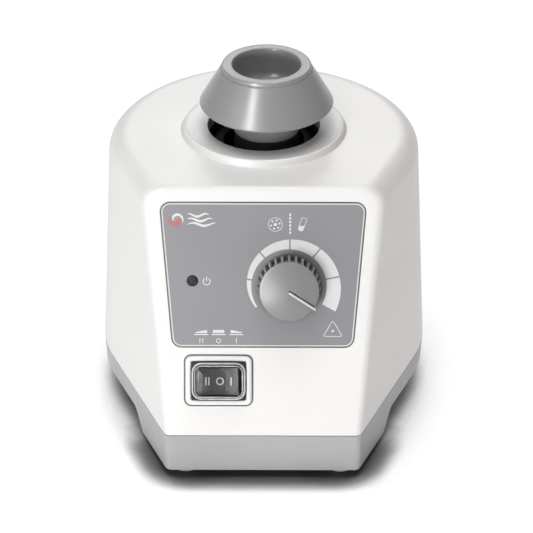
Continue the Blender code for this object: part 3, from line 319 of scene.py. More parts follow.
class Look:
    """A Principled material whose colour, roughness and bump vary over the surface."""

    def __init__(self, name, colour, roughness, metallic=0.0):
        self.name = name
        self.material = bpy.data.materials.new(name)
        self.material.use_nodes = True
        self.nodes = self.material.node_tree.nodes
        self.shader = self.nodes["Principled BSDF"]
        self.colour = colour
        self.roughness = roughness
        self.set("Base Color", (*colour, 1.0))
        self.set("Roughness", roughness)
        self.set("Metallic", metallic)
        self.place = self.nodes.new("ShaderNodeTexCoord")
        self.normal = None

    def set(self, socket, value):
        self.shader.inputs[socket].default_value = value
        return self

    def link(self, source, target):
        self.material.node_tree.links.new(source, target)

    def noise(self, size, detail=2.0, stretch=None):
        """Noise whose features are about the given size in millimetres."""
        made = self.nodes.new("ShaderNodeTexNoise")
        made.inputs["Scale"].default_value = 1.0 / (size * MM)
        made.inputs["Detail"].default_value = detail
        source = self.place.outputs["Object"]
        if stretch:
            mapping = self.nodes.new("ShaderNodeMapping")
            mapping.inputs["Scale"].default_value = stretch
            self.link(source, mapping.inputs["Vector"])
            source = mapping.outputs["Vector"]
        self.link(source, made.inputs["Vector"])
        return made.outputs["Fac"]

    def ramp(self, factor, stops):
        made = self.nodes.new("ShaderNodeValToRGB")
        elements = made.color_ramp.elements
        while len(elements) < len(stops):
            elements.new(0.5)
        for element, (position, colour) in zip(elements, stops):
            element.position = position
            element.color = (*colour, 1.0)
        self.link(factor, made.inputs["Fac"])
        return made.outputs["Color"]

    def span(self, factor, start, end, low, high):
        """A factor between start and end, stretched to run from low to high."""
        made = self.nodes.new("ShaderNodeMapRange")
        made.inputs["From Min"].default_value = start
        made.inputs["From Max"].default_value = end
        made.inputs["To Min"].default_value = low
        made.inputs["To Max"].default_value = high
        self.link(factor, made.inputs["Value"])
        return made.outputs["Result"]

    def blend(self, first, second, mode="MIX", factor=None):
        made = self.nodes.new("ShaderNodeMix")
        made.data_type = "RGBA"
        made.blend_type = mode
        made.inputs["Factor"].default_value = 1.0
        if factor:
            self.link(factor, made.inputs["Factor"])
        self.link(first, made.inputs["A"])
        self.link(second, made.inputs["B"])
        return made.outputs["Result"]

    def shade(self, share):
        return tuple(min(1.0, max(0.0, channel * share)) for channel in self.colour)

    def patches(self, size, spread):
        shades = [(0.35, self.shade(1.0 - spread)), (0.65, self.shade(1.0 + spread))]
        return self.ramp(self.noise(size, 3.0), shades)

    def mottle(self, size, spread):
        """Slow change of colour over the surface."""
        self.link(self.patches(size, spread), self.shader.inputs["Base Color"])
        return self

    def worn(self, size, spread, edge_share, amount=0.5):
        """Slow change of colour that also lightens or darkens along the edges."""
        edges = self.nodes.new("ShaderNodeNewGeometry").outputs["Pointiness"]
        mask = self.span(edges, 0.52, 0.62, 0.0, amount)
        rubbed = self.ramp(self.noise(0.8, 4.0), [(0.3, self.colour), (0.7, self.shade(edge_share))])
        colour = self.blend(self.patches(size, spread), rubbed, factor=mask)
        self.link(colour, self.shader.inputs["Base Color"])
        return self

    def rough(self, size, spread):
        """Roughness that varies between patches of handling and cleaning."""
        low, high = max(0.02, self.roughness - spread), min(1.0, self.roughness + spread)
        varied = self.span(self.noise(size, 4.0), 0.3, 0.7, low, high)
        self.link(varied, self.shader.inputs["Roughness"])
        return self

    def bump(self, size, depth, strength=1.0, detail=2.0, stretch=None):
        """Surface texture of the given size and depth in millimetres."""
        made = self.nodes.new("ShaderNodeBump")
        made.inputs["Strength"].default_value = strength
        made.inputs["Distance"].default_value = depth * MM
        self.link(self.noise(size, detail, stretch), made.inputs["Height"])
        if self.normal:
            self.link(self.normal, made.inputs["Normal"])
        self.normal = made.outputs["Normal"]
        self.link(self.normal, self.shader.inputs["Normal"])
        return self

    def painted_shade_ramp(self, distance, stops, samples=8):
        """Painted shade: tones that depend on how closely other surfaces stand around, within a
        distance.
        """
        made = self.nodes.new("ShaderNodeAmbientOcclusion")
        made.inputs["Distance"].default_value = distance * MM
        made.samples = samples
        return self.ramp(made.outputs["AO"], stops)

    def painted_shade_darkening(self, distance, darkest, start=0.25, end=0.90):
        """Painted shade: colour that deepens where another surface stands close, as in grooves and
        under rims, where shade would fall.
        """
        base = self.shader.inputs["Base Color"].links[0].from_socket
        share = self.painted_shade_ramp(distance, [(start, (darkest,) * 3), (end, (1.0, 1.0, 1.0))])
        self.link(self.blend(base, share, "MULTIPLY"), self.shader.inputs["Base Color"])
        return self


def make_looks():
    """The finish of every part and of every ink, by name; some colours also carry painted shade,
    painted shadow or a painted highlight.
    """
    looks = [
        Look("housing_white", (0.79, 0.788, 0.776), 0.42)
        .worn(45.0, 0.012, 0.96, 0.4)
        # painted shade in grooves, pockets and under the collar's rim
        .painted_shade_darkening(7.0, 0.25, 0.15, 0.80)
        # painted shadow of the cup over the dished collar
        .painted_shade_darkening(24.0, 0.50, 0.30, 0.66)
        .rough(22.0, 0.05)
        .bump(0.35, 0.004, 0.5)
        .set("Coat Weight", 0.06)
        .set("Coat Roughness", 0.2),
        Look("base_grey", (0.395, 0.395, 0.395), 0.46)
        .worn(20.0, 0.03, 1.15, 0.5)
        .rough(9.0, 0.08)
        .bump(0.55, 0.012, 0.6, 4.0),
        Look("foot_rubber", (0.50, 0.50, 0.49), 0.78).mottle(3.0, 0.05).rough(2.0, 0.1).bump(0.3, 0.02),
        Look("overlay_grey", (0.230, 0.227, 0.242), 0.39)
        .mottle(30.0, 0.015)
        # painted shadow around the knob and beside other raised parts on the panel
        .painted_shade_darkening(5.5, 0.15, 0.2, 0.85)
        .rough(14.0, 0.05)
        .bump(0.22, 0.004, 0.6, 3.0),
        Look("knob_grey", (0.224, 0.228, 0.227), 0.30)
        .mottle(9.0, 0.02)
        # painted shade deep in the flutes and the pointer groove
        .painted_shade_darkening(2.6, 0.12, 0.3, 0.85)
        .rough(7.0, 0.03)
        .bump(0.3, 0.003, 0.4),
        Look("cup_rubber", (0.266, 0.266, 0.272), 0.31)
        .mottle(26.0, 0.010)
        .rough(16.0, 0.02)
        .bump(0.5, 0.002, 0.3, 1.0)
        .set("Sheen Weight", 0.08),
        Look("pointer_white", (0.60, 0.62, 0.61), 0.42)
        .mottle(5.0, 0.02)
        .rough(3.0, 0.06)
        .bump(0.2, 0.003),
        Look("print_white", (0.66, 0.68, 0.67), 0.50)
        .mottle(6.0, 0.015)
        .rough(4.0, 0.05)
        .bump(0.22, 0.003),
        Look("print_grey", (0.42, 0.43, 0.43), 0.42)
        .mottle(3.0, 0.03)
        .rough(2.0, 0.05)
        .bump(0.22, 0.003),
        # a little darker than the overlay: painted shade that widens the shadow line in the gap around
        # the overlay
        Look("edge_gap_painted_shade", (0.20, 0.20, 0.20), 0.42)
        .mottle(6.0, 0.03)
        .rough(4.0, 0.05)
        .bump(0.22, 0.003),
        Look("black_plastic", (0.020, 0.020, 0.021), 0.34)
        .worn(4.0, 0.1, 2.2, 0.4)
        .rough(3.0, 0.05)
        .bump(0.3, 0.0012)
        .set("Specular IOR Level", 0.25),
        Look("seal_rubber", (0.034, 0.034, 0.034), 0.80)
        .mottle(4.0, 0.15)
        .rough(3.0, 0.1)
        .bump(0.4, 0.01)
        .set("Specular IOR Level", 0.08),
        Look("led_lens", (0.030, 0.027, 0.028), 0.45)
        .mottle(0.8, 0.1)
        .rough(1.5, 0.05)
        .bump(0.3, 0.003)
        .set("Specular IOR Level", 0.2),
        Look("clear_silicone", (0.96, 0.96, 0.97), 0.13)
        .mottle(4.0, 0.01)
        .rough(5.0, 0.03)
        .bump(1.2, 0.006, 0.4)
        .set("Transmission Weight", 1.0)
        .set("IOR", 1.17),
        # pale, cloudy colour: a painted highlight for the bright lines along the clear cap's edges
        Look("cap_bead_painted_highlight", (0.78, 0.78, 0.79), 0.22)
        .mottle(3.0, 0.12)
        .rough(3.0, 0.06)
        .bump(0.8, 0.004, 0.4)
        .set("Transmission Weight", 0.35)
        .set("IOR", 1.4),
        Look("board_green", (0.03, 0.18, 0.08), 0.42).mottle(3.0, 0.1).rough(3.0, 0.1).bump(0.6, 0.02),
        Look("signal_red", (0.62, 0.075, 0.055), 0.38)
        .mottle(3.0, 0.04)
        .rough(3.0, 0.06)
        .bump(0.2, 0.003),
        Look("plated_steel", (0.62, 0.62, 0.62), 0.30, 1.0)
        .worn(2.0, 0.06, 1.2)
        .rough(2.0, 0.1)
        .bump(0.3, 0.006),
        Look("plate_steel", (0.50, 0.51, 0.53), 0.42, 1.0)
        .worn(6.0, 0.06, 1.2)
        .rough(5.0, 0.1)
        .bump(0.5, 0.01),
        Look("heat_sink_metal", (0.62, 0.62, 0.63), 0.38, 1.0)
        .mottle(2.0, 0.05)
        .rough(2.0, 0.1)
        .bump(0.3, 0.008),
        Look("core_iron", (0.18, 0.18, 0.19), 0.52, 0.8)
        .mottle(3.0, 0.08)
        .rough(3.0, 0.1)
        .bump(0.5, 0.05, 0.8, 1.0, (0.05, 0.05, 1.0)),
        Look("winding_copper", (0.72, 0.34, 0.16), 0.34, 1.0)
        .mottle(1.0, 0.12)
        .rough(1.0, 0.1)
        .bump(0.6, 0.15, 0.8, 1.0, (0.1, 0.1, 1.0)),
        Look("contact_brass", (0.80, 0.66, 0.38), 0.28, 1.0)
        .worn(1.5, 0.05, 1.1)
        .rough(1.5, 0.1)
        .bump(0.2, 0.004),
        Look("hub_zinc", (0.56, 0.56, 0.57), 0.42, 1.0)
        .worn(4.0, 0.06, 1.1)
        .rough(3.0, 0.1)
        .bump(0.6, 0.02, 0.7, 4.0),
    ]
    return {look.name: look.material for look in looks}


LOOKS = make_looks()


# ---- housing shape


def between(start, end, steps):
    """Points that divide a straight stretch evenly, its ends left out."""
    return [tuple(a + (b - a) * k / steps for a, b in zip(start, end)) for k in range(1, steps)]


def plan_outline(radius, front_y, corner):
    """Housing outline in plan, anticlockwise from the right end of the front edge."""
    turn = SIDE_TURN
    centre_y = front_y + corner
    centre_x = (radius - corner + (centre_y - DRIVE_Y) * math.sin(turn)) / math.cos(turn)
    arcs = [
        (centre_x, centre_y, corner, -math.pi / 2.0, -turn, 7),
        (0.0, DRIVE_Y, radius, -turn, 0.0, 8),
        (0.0, DRIVE_Y, radius, 0.0, math.pi, 84),
        (0.0, DRIVE_Y, radius, math.pi, math.pi + turn, 8),
        (-centre_x, centre_y, corner, math.pi + turn, 1.5 * math.pi, 7),
    ]
    outline = []
    for x, y, size, start, end, steps in arcs:
        joins_last = bool(outline) and start in (0.0, math.pi)
        arc = []
        for k in range(1 if joins_last else 0, steps + 1):
            angle = start + (end - start) * k / steps
            arc.append((x + size * math.cos(angle), y + size * math.sin(angle)))
        if outline and not joins_last:
            outline += between(outline[-1], arc[0], 16)
        outline += arc
    front_steps = 24
    for k in range(1, front_steps):
        outline.append((centre_x * (2.0 * k / front_steps - 1.0), front_y))
    return outline


def edge_inset(depth, radius, lean):
    """How far a rounded top edge stands in from the leaning wall, at a depth below the top."""
    if depth >= radius * (1.0 - math.sin(lean)):
        return 0.0
    rise = math.asin(max(-1.0, min(1.0, 1.0 - depth / radius)))
    return radius * (1.0 / math.cos(lean) - math.cos(rise) - math.sin(rise) * math.tan(lean))


def housing_ring(z, inset, top_z, shoulder, brow, corner):
    """One level of the wall, moved in by the inset; its front corners widen with height."""
    climb = z - SEAM_Z
    corner += CORNER_GROWTH * climb
    depth = top_z - z
    radius = SEAM_RADIUS - climb * math.tan(WALL_DRAFT) - inset
    radius -= edge_inset(depth, shoulder, WALL_DRAFT)
    front_y = FRONT_Y + climb * math.tan(PANEL_TILT) + inset / math.cos(PANEL_TILT)
    front_y += edge_inset(depth, brow, PANEL_TILT)
    return level(plan_outline(radius, front_y, corner), z)


def edge_levels(top_z, radius, lean, steps):
    """Heights of the rings around a rounded top edge, from the wall up."""
    rises = [lean + (math.pi / 2.0 - lean) * k / steps for k in range(steps + 1)]
    return [top_z - radius * (1.0 - math.sin(rise)) for rise in rises]


def round_ring(radius, z, like):
    """A circle about the drive axis whose points stand at the same bearings as another ring's."""
    ring = []
    for x, y, _ in like:
        bearing = math.atan2(y - DRIVE_Y, x)
        ring.append((radius * math.cos(bearing), DRIVE_Y + radius * math.sin(bearing), z))
    return ring


def overlay_outline(shrink):
    """Trapezoid of the panel overlay, each side moved in by shrink."""
    slope = math.atan((OVERLAY_TOP_HALF - OVERLAY_BOTTOM_HALF) / (OVERLAY_TOP_V - OVERLAY_BOTTOM_V))
    side = shrink / math.cos(slope)
    low, high = OVERLAY_BOTTOM_V + shrink, OVERLAY_TOP_V - shrink
    low_half = OVERLAY_BOTTOM_HALF - side + shrink * math.tan(slope)
    high_half = OVERLAY_TOP_HALF - side - shrink * math.tan(slope)
    corner = max(OVERLAY_CORNER - shrink, 0.3)
    points = [(-low_half, low), (low_half, low), (high_half, high), (-high_half, high)]
    return filleted([(*point, corner) for point in points], True, 8)


def upper_housing():
    """White moulding: wall, rounded shoulders, top, dished collar and bore as one skin."""
    low = SEAM_Z + GAP / 2.0
    outer = (0.0, TOP_Z, SHOULDER_RADIUS, BROW_RADIUS, CORNER_RADIUS)
    shoulder_zs = edge_levels(TOP_Z, SHOULDER_RADIUS, WALL_DRAFT, 12)
    brow_zs = edge_levels(TOP_Z, BROW_RADIUS, PANEL_TILT, 8)
    rings = [housing_ring(z, *outer) for z in [low] + sorted(set(shoulder_zs + brow_zs))]
    top_ring = rings[-1]
    outside = [(36.0, 0.0, 0.0), (32.0, 0.0, 0.5), (31.0, 2.2, 0.4), (30.3, COLLAR_HEIGHT, 0.15)]
    dish = [(29.4, 2.3, 0.5), (27.0, 2.05, 2.0), (OPENING_RADIUS + 0.05, 2.0, 0.45)]
    bore = [(OPENING_RADIUS, -WALL, 0.4), (26.0, -WALL, 0.0)]
    collar = filleted(outside + dish + bore)
    rings += [round_ring(radius, TOP_Z + rise, top_ring) for radius, rise in collar]
    inner_top = TOP_Z - WALL
    inner = (WALL, inner_top, SHOULDER_RADIUS - WALL, 0.6, 1.0)
    inner_zs = edge_levels(inner_top, SHOULDER_RADIUS - WALL, WALL_DRAFT, 5)
    rings += [housing_ring(z, *inner) for z in reversed([low] + inner_zs)]
    shell = mesh_object("upper_housing_shell", skin(rings, closed=True), Matrix())

    bezel = tuple(side + 2.0 * GAP for side in SWITCH_BEZEL)
    inlet = box_size("mains_inlet")
    inlet_low, inlet_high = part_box("mains_inlet")
    inlet_z = (inlet_low.z + inlet_high.z) / 2.0 / MM
    seat_y = inlet_high.y / MM - 2.4
    facing_back = Matrix.Rotation(-math.pi / 2.0, 4, "X")
    inlet_frame = Matrix.Translation((0.0, seat_y * MM, inlet_z * MM)) @ facing_back
    recess = rectangle((inlet.x + 2.0 * GAP, inlet.z + 2.0 * GAP), 1.6)
    window = rectangle((inlet.x - 3.0 + 2.0 * GAP, inlet.z - 3.4 + 2.0 * GAP), 0.6)
    pad = rectangle((inlet.x + 6.0, inlet.z + 7.0), 2.0)
    groove = band(rectangle((26.3, 20.05), 2.8), rectangle((25.0, 18.75), 2.1), -0.7, 1.0)
    through, above, behind = -9.0, 6.0, 12.0
    carved(shell, [
        ("DIFFERENCE", slab(rectangle(bezel, 0.5), through, above), SWITCH),
        ("DIFFERENCE", groove, SWITCH),
        ("DIFFERENCE", slab(overlay_outline(0.0), -OVERLAY_POCKET, above), PANEL),
        ("DIFFERENCE", slab(circle(4.6), through, above), DIAL),
        ("DIFFERENCE", slab(circle(LED_RADIUS + 0.2), through, above), LED),
        ("UNION", slab(pad, -6.0, 0.6), inlet_frame),
        ("DIFFERENCE", slab(recess, 0.0, behind), inlet_frame),
        ("DIFFERENCE", slab(window, through, behind), inlet_frame),
    ])
    dress(shell, "housing_white", "housing", ("upper_housing",), edge=0.22)


def switch_frame():
    """Raised rounded frame around the switch, standing on the front wall."""
    width = 2.4
    profile = [(0.0, -1.2, 0.0), (0.35, 1.25, 0.9)]
    profile += [(width - 0.15, 1.15, 0.5), (width - 0.05, -1.2, 0.0)]
    rings = []
    for inset, w in filleted(profile):
        share = inset / width
        sides = zip(SWITCH_FRAME_OUTSIDE, SWITCH_FRAME_INSIDE)
        size = tuple(outside + (inside - outside) * share for outside, inside in sides)
        rings.append(level(rectangle(size, 2.5 - 1.9 * share, steps=8), w))
    made = mesh_object("switch_frame", skin(rings, closed=True), SWITCH)
    dress(made, "housing_white", "housing", sharp=50.0)


# ---- base

BASE_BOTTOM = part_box("base_casting")[0].z / MM


def base_ring(z, inset, corner):
    """One level of the base wall, which tapers in towards the bottom."""
    drop = (SEAM_Z - z) / (SEAM_Z - BASE_BOTTOM)
    radius = SEAM_RADIUS - 1.1 * drop - inset
    return level(plan_outline(radius, FRONT_Y + 2.25 * drop + inset, corner), z)


def finger_gap_outline():
    """Side view (y, z) of the cut that lifts the skirt along both sides."""
    front, rear, run, top = DRIVE_Y - 44.5, DRIVE_Y + 33.0, 9.0, 12.0
    low = BASE_BOTTOM - 0.4
    steps = 14
    outline = [(front - run, BASE_BOTTOM - 2.0), (rear + run, BASE_BOTTOM - 2.0)]
    for end, sign in ((rear, 1.0), (front, -1.0)):
        for k in range(steps + 1):
            share = k / steps if sign > 0.0 else 1.0 - k / steps
            z = low + (top - low) * (0.5 - 0.5 * math.cos(math.pi * share))
            outline.append((end + sign * run * (1.0 - share), z))
    return outline


def base_casting():
    """Grey casting: wall, floor, foot bosses, screw holes, posts for the motor plate, side gaps."""
    high = SEAM_Z - GAP / 2.0
    floor_low, floor_high, wall = 12.6, 16.6, 4.0
    corners = [
        (wall, floor_low, 0.0),
        (wall, BASE_BOTTOM, 0.6),
        (0.0, BASE_BOTTOM, 0.3),
        (0.0, high, 0.3),
        (wall - 0.6, high, 0.3),
        (wall, floor_high, 0.0),
    ]
    rings = [base_ring(z, inset, 2.9 - 0.5 * inset) for inset, z in filleted(corners)]
    made = mesh_object("base_casting_shell", skin(rings), Matrix())
    steps = []
    boss, plug_hole, screw_hole, head_hole = 7.0, 2.3, 2.0, 3.6
    for corner in CORNERS:
        spot = floor_spot("foot_" + corner)
        steps.append(("UNION", slab(circle(boss, 40), BASE_BOTTOM + 0.1, floor_low + 1.0), spot))
        steps.append(("DIFFERENCE", slab(circle(plug_hole, 24), 0.0, 10.3), spot))
    for corner in CORNERS:
        spot = floor_spot("housing_screw_" + corner)
        steps.append(("DIFFERENCE", slab(circle(screw_hole, 24), 0.0, 30.0), spot))
        steps.append(("DIFFERENCE", slab(circle(head_hole, 32), 0.0, 15.3), spot))
    post = [(3.4, floor_high - 1.0), (3.4, 26.2), (1.7, 26.2), (1.7, floor_high + 1.0)]
    for number in range(1, 5):
        steps.append(("UNION", lathe(post, 32), floor_spot("carriage_screw_%d" % number)))
    reach = SEAM_RADIUS + 20.0
    gap = skin([[(x, y, z) for y, z in finger_gap_outline()] for x in (-reach, reach)])
    steps.append(("DIFFERENCE", gap, Matrix()))
    carved(made, steps)
    dress(made, "base_grey", "housing", ("base_casting",), edge=0.3)


def feet():
    """Four rubber pads, each with a plug that fills the hole in its boss."""
    top = BASE_BOTTOM - GAP
    for corner in CORNERS:
        node = "foot_" + corner
        low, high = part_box(node)
        radius = (high.x - low.x) / 2.0 / MM
        underside = [(0.8, 0.5, 0.0), (1.8, 0.5, 0.3), (2.2, 0.0, 0.3), (radius - 0.8, 0.0, 0.7)]
        side = [(radius, 1.6, 0.8), (radius - 0.1, top, 0.3)]
        plug = [(2.0, top, 0.0), (2.0, 9.7, 0.3), (0.8, 10.0, 0.0)]
        profile = filleted(underside + side + plug, steps=4)
        made = mesh_object(node + "_pad", lathe(profile, 48), floor_spot(node))
        dress(made, "foot_rubber", "housing", (node,))


# ---- panel parts


def panel_overlay():
    low = -OVERLAY_POCKET + GAP
    made = mesh_object("panel_overlay_film", slab(overlay_outline(GAP), low, OVERLAY_TOP_W), PANEL)
    carved(made, [
        ("DIFFERENCE", slab(circle(7.5), -4.0, 4.0), DIAL),
        ("DIFFERENCE", slab(circle(LED_RADIUS), -4.0, 4.0), LED),
    ])
    dress(made, "overlay_grey", "housing", ("panel_overlay",), edge=0.08)


def ink(outline):
    return slab(outline, PRINT_LOW, PRINT_HIGH)


def ink_band(outer, inner):
    return band(outer, inner, PRINT_LOW, PRINT_HIGH)


def ink_section(near, far):
    """One cross section of a printed stroke, from its near edge to its far edge."""
    return [(*near, PRINT_LOW), (*far, PRINT_LOW), (*far, PRINT_HIGH), (*near, PRINT_HIGH)]


def ink_sweep(centre, inner, outer, start, end):
    """A printed arc whose inner and outer radius are functions of the share along it."""
    steps = 24
    rings = []
    for k in range(steps + 1):
        share = k / steps
        angle = start + (end - start) * share
        x, y = math.cos(angle), math.sin(angle)
        near, far = inner(share), outer(share)
        near_point = (centre[0] + near * x, centre[1] + near * y)
        far_point = (centre[0] + far * x, centre[1] + far * y)
        rings.append(ink_section(near_point, far_point))
    return skin(rings)


def scale_segments():
    """Six pale segments around the dial that grow wider towards the fast end."""
    boundaries = [math.radians(a) for a in (213.0, 170.0, 130.0, 89.0, 51.0, 11.5, -28.5)]
    first, last = boundaries[0], boundaries[-1]
    inner_radius = 14.2
    half_gap = 0.28
    steps = 20

    def outer_radius(angle):
        share = (first - angle) / (first - last)
        return 14.9 + 6.88 * share - 1.88 * share * share

    shapes = []
    for start, end in zip(boundaries, boundaries[1:]):
        start_gap = 0.0 if start == first else half_gap
        end_gap = 0.0 if end == last else half_gap
        rings = []
        for k in range(steps + 1):
            share = k / steps
            points = []
            for radius in (inner_radius, outer_radius(start + (end - start) * share)):
                angle_start = start - start_gap / radius
                angle_end = end + end_gap / radius
                angle = angle_start + (angle_end - angle_start) * share
                points.append((DIAL_U + radius * math.cos(angle), DIAL_V + radius * math.sin(angle)))
            rings.append(ink_section(*points))
        shapes.append(skin(rings))
    return shapes


def dashed_line():
    """An upright dashed line above the dial."""
    shapes = []
    dashes, low, high = 6, 77.4, 85.6
    pitch = (high - low) / dashes
    for k in range(dashes):
        centre = (DIAL_U + 0.4, low + pitch * (k + 0.5))
        shapes.append(ink(rectangle((0.72, pitch * 0.78), 0.34, centre, 4)))
    return shapes


def disc_icon():
    """A round plate with a ring of wells, seen from above."""
    centre = (4.6, 81.2)
    shapes = [ink_band(circle(2.70, 48, centre), circle(2.48, 48, centre))]
    shapes.append(ink(circle(0.62, 24, centre)))
    for k in range(6):
        angle = TAU * (k + 0.22) / 6.0
        spot = (centre[0] + 1.62 * math.cos(angle), centre[1] + 1.62 * math.sin(angle))
        shapes.append(ink(circle(0.38, 16, spot)))
    return shapes


def tube_icon():
    """A leaning test tube, its lower part filled."""
    lean_angle = math.radians(19.0)
    lean = Matrix.Translation((14.75, 81.2, 0.0)) @ Matrix.Rotation(-lean_angle, 4, "Z")
    wide, long, line = 2.15, 5.3, 0.22

    def tube(x, y, bottom_corner, top_corner):
        bottom = [(-x, -y, bottom_corner), (x, -y, bottom_corner)]
        return filleted(bottom + [(x, y, top_corner), (-x, y, top_corner)], True)

    x, y = wide / 2.0, long / 2.0
    glass = ink_band(tube(x, y, 1.05, 0.3), tube(x - line, y - line, 0.8, 0.12))
    x, y = x - line, y - line
    tilt = x * math.tan(lean_angle)
    bottom = [(-x - 0.05, -y, 0.8), (x + 0.05, -y, 0.8)]
    surface = [(x + 0.05, -0.55 + tilt, 0.0), (-x - 0.05, -0.55 - tilt, 0.0)]
    return [moved(glass, lean), moved(ink(filleted(bottom + surface, True)), lean)]


def triangle_icon():
    """A plain outlined triangle with a dot."""
    middle = 26.35

    def corners(shrink):
        low, high, half = 38.4 + shrink, 44.9 - 2.05 * shrink, 3.85 - 1.75 * shrink
        radius = max(0.55 - shrink, 0.12)
        points = [(middle - half, low), (middle + half, low), (middle, high)]
        return filleted([(*point, radius) for point in points], True)

    return [ink_band(corners(0.0), corners(0.26)), ink(circle(0.48, 20, (middle, 40.6)))]


def rocker_icons():
    """Three side views of a rocker, tilted left, level and tilted right, with plain marks below."""
    shapes = []
    half, low, foot_low, foot_high = 2.15, 39.75, 38.95, 39.35
    tilts = ((-23.2, 0.35, 1.15), (-16.7, 1.15, 1.15), (-10.0, 1.15, 0.35))
    for centre, left_high, right_high in tilts:
        left, right = centre - half, centre + half
        top = [(right, low + right_high), (left, low + left_high)]
        shapes.append(ink([(left, low), (right, low)] + top))
        base = [(left - 0.55, foot_low), (right + 0.55, foot_low)]
        shapes.append(ink(base + [(right + 0.35, foot_high), (left - 0.35, foot_high)]))
    v = 36.75
    for u in (-23.75, -22.65, -10.0):
        shapes.append(ink(rectangle((0.32, 1.9), 0.1, (u, v), 2)))
    shapes.append(ink_band(circle(0.95, 28, (-16.7, v)), circle(0.66, 28, (-16.7, v))))
    return shapes


def power_symbol():
    """A ring that is open at the top, with an upright bar in the opening."""
    centre = (-21.2, 59.5)
    start, end = math.radians(125.0), math.radians(415.0)
    ring = ink_sweep(centre, lambda share: 1.15, lambda share: 1.5, start, end)
    bar = ink(rectangle((0.36, 1.7), 0.15, (centre[0], centre[1] + 1.0), 3))
    return [ring, bar]


def swirl_arm(start):
    """One comma of the swirl: an arc that swells and tapers as it turns."""
    centre, size, turn = (-32.6, 83.0), 3.0, math.radians(-230.0)

    def middle(share):
        return size * (0.32 + 0.60 * share)

    def half_width(share):
        return size * 0.17 * math.sin(math.pi * (0.08 + 0.9 * share)) + 0.03

    def near(share):
        return middle(share) - half_width(share)

    def far(share):
        return middle(share) + half_width(share)

    return ink_sweep(centre, near, far, start, start + turn)


def waves():
    """Three long waves beside the swirl, each a little shorter than the one below it."""
    shapes = []
    steps = 28
    for k in range(3):
        rings = []
        for i in range(steps + 1):
            share = i / steps
            u = -28.4 + (10.6 - 1.2 * k) * share
            v = 81.2 + 1.75 * k + 0.55 * math.sin(TAU * 1.25 * share + 0.6 * k)
            half = 0.42 * math.sin(math.pi * (0.04 + 0.92 * share)) + 0.06
            rings.append(ink_section((u, v - half), (u, v + half)))
        shapes.append(skin(rings))
    return shapes


def panel_print():
    """Everything printed on the overlay, and a dark band of painted shade along its edge, one object
    for each ink.
    """
    border = ink_band(overlay_outline(GAP + 0.34), overlay_outline(GAP + 0.74))
    white = [border] + scale_segments() + dashed_line() + disc_icon() + tube_icon() + triangle_icon()
    white += rocker_icons() + power_symbol() + [swirl_arm(math.radians(200.0))] + waves()
    # dark band along the overlay's outer edge: painted shade beside the gap's real shadow
    edge = ink_band(overlay_outline(GAP + 0.02), overlay_outline(GAP + 0.34))
    for name, shapes, look, slot in (
        ("panel_print_white", white, "print_white", "pointer_white"),
        ("panel_print_red", [swirl_arm(math.radians(20.0))], "signal_red", "signal_red"),
        ("panel_edge_painted_shade", [edge], "edge_gap_painted_shade", "overlay_grey"),
    ):
        dress(mesh_object(name, merged(*shapes), PANEL), look, "housing", sharp=30.0)


def led_lens():
    """Domed dark window of the power light, with a moulded ring in it."""
    radius = LED_RADIUS - LED_PLAY
    side = [(0.02, -9.0, 0.0), (radius, -9.0, 0.2), (radius, -0.05, 0.35)]
    ring = [(1.35, 0.24, 0.3), (1.2, 0.06, 0.12), (0.9, 0.06, 0.12)]
    dome = [(0.75, 0.27, 0.2), (0.02, 0.3, 0.0)]
    made = mesh_object("led_lens", lathe(filleted(side + ring + dome, steps=5), 48), LED)
    dress(made, "led_lens", "housing", ("led_light_pipe",), sharp=50.0)


def fluted_ring(radius, depth, w):
    """One level of the knob's side: narrow rounded grooves between broad lands."""
    steps = 12
    ring = []
    for i in range(KNOB_FLUTES * steps):
        share = (i / steps) % 1.0
        off_groove = abs(share - 0.5) * 2.0
        blend = min(1.0, max(0.0, (0.66 - off_groove) / 0.30))
        notch = depth * blend * blend * (3.0 - 2.0 * blend)
        angle = TAU * i / (KNOB_FLUTES * steps)
        ring.append(((radius - notch) * math.cos(angle), (radius - notch) * math.sin(angle), w))
    return ring


def knob_rings():
    """The knob from its bore outwards, up the fluted side and in over the domed face."""
    side_low, side_top, side_steps = 1.2, 10.6, 11
    face_w = KNOB_TOP_W + 0.1
    bore = ((3.3, 9.8), (3.3, 3.4), (7.4, 3.4), (7.4, 0.9))
    rings = [fluted_ring(radius, 0.0, w) for radius, w in bore]
    rings.append(fluted_ring(KNOB_RADIUS - 0.3, FLUTE_DEPTH - 0.05, 0.9))
    rings.append(fluted_ring(KNOB_RADIUS, FLUTE_DEPTH, side_low))
    for k in range(1, side_steps + 1):
        share = 1.0 - (1.0 - k / side_steps) ** 1.8
        w = side_low + (side_top - side_low) * share
        depth = FLUTE_DEPTH * min(1.0, math.sqrt(max(0.0, (side_top - w) / 1.1)))
        rings.append(fluted_ring(KNOB_RADIUS - 0.85 * share, depth, w))
    edge_w = face_w - 1.15
    edge = [(11.25, side_top, 0.0), (11.1, edge_w + 0.1, 0.45), (8.8, edge_w + 0.42, 0.0)]
    edge = filleted(edge, steps=5)
    for radius, w in edge[1:-1]:
        rings.append(fluted_ring(radius, 0.0, w))
    edge_radius, edge_w = edge[-2]
    for k in range(1, 11):
        radius = edge_radius * (1.0 - k / 10.0) + 0.05
        climb = (face_w - edge_w) * (1.0 - (radius / edge_radius) ** 2)
        rings.append(fluted_ring(radius, 0.0, edge_w + climb))
    return rings


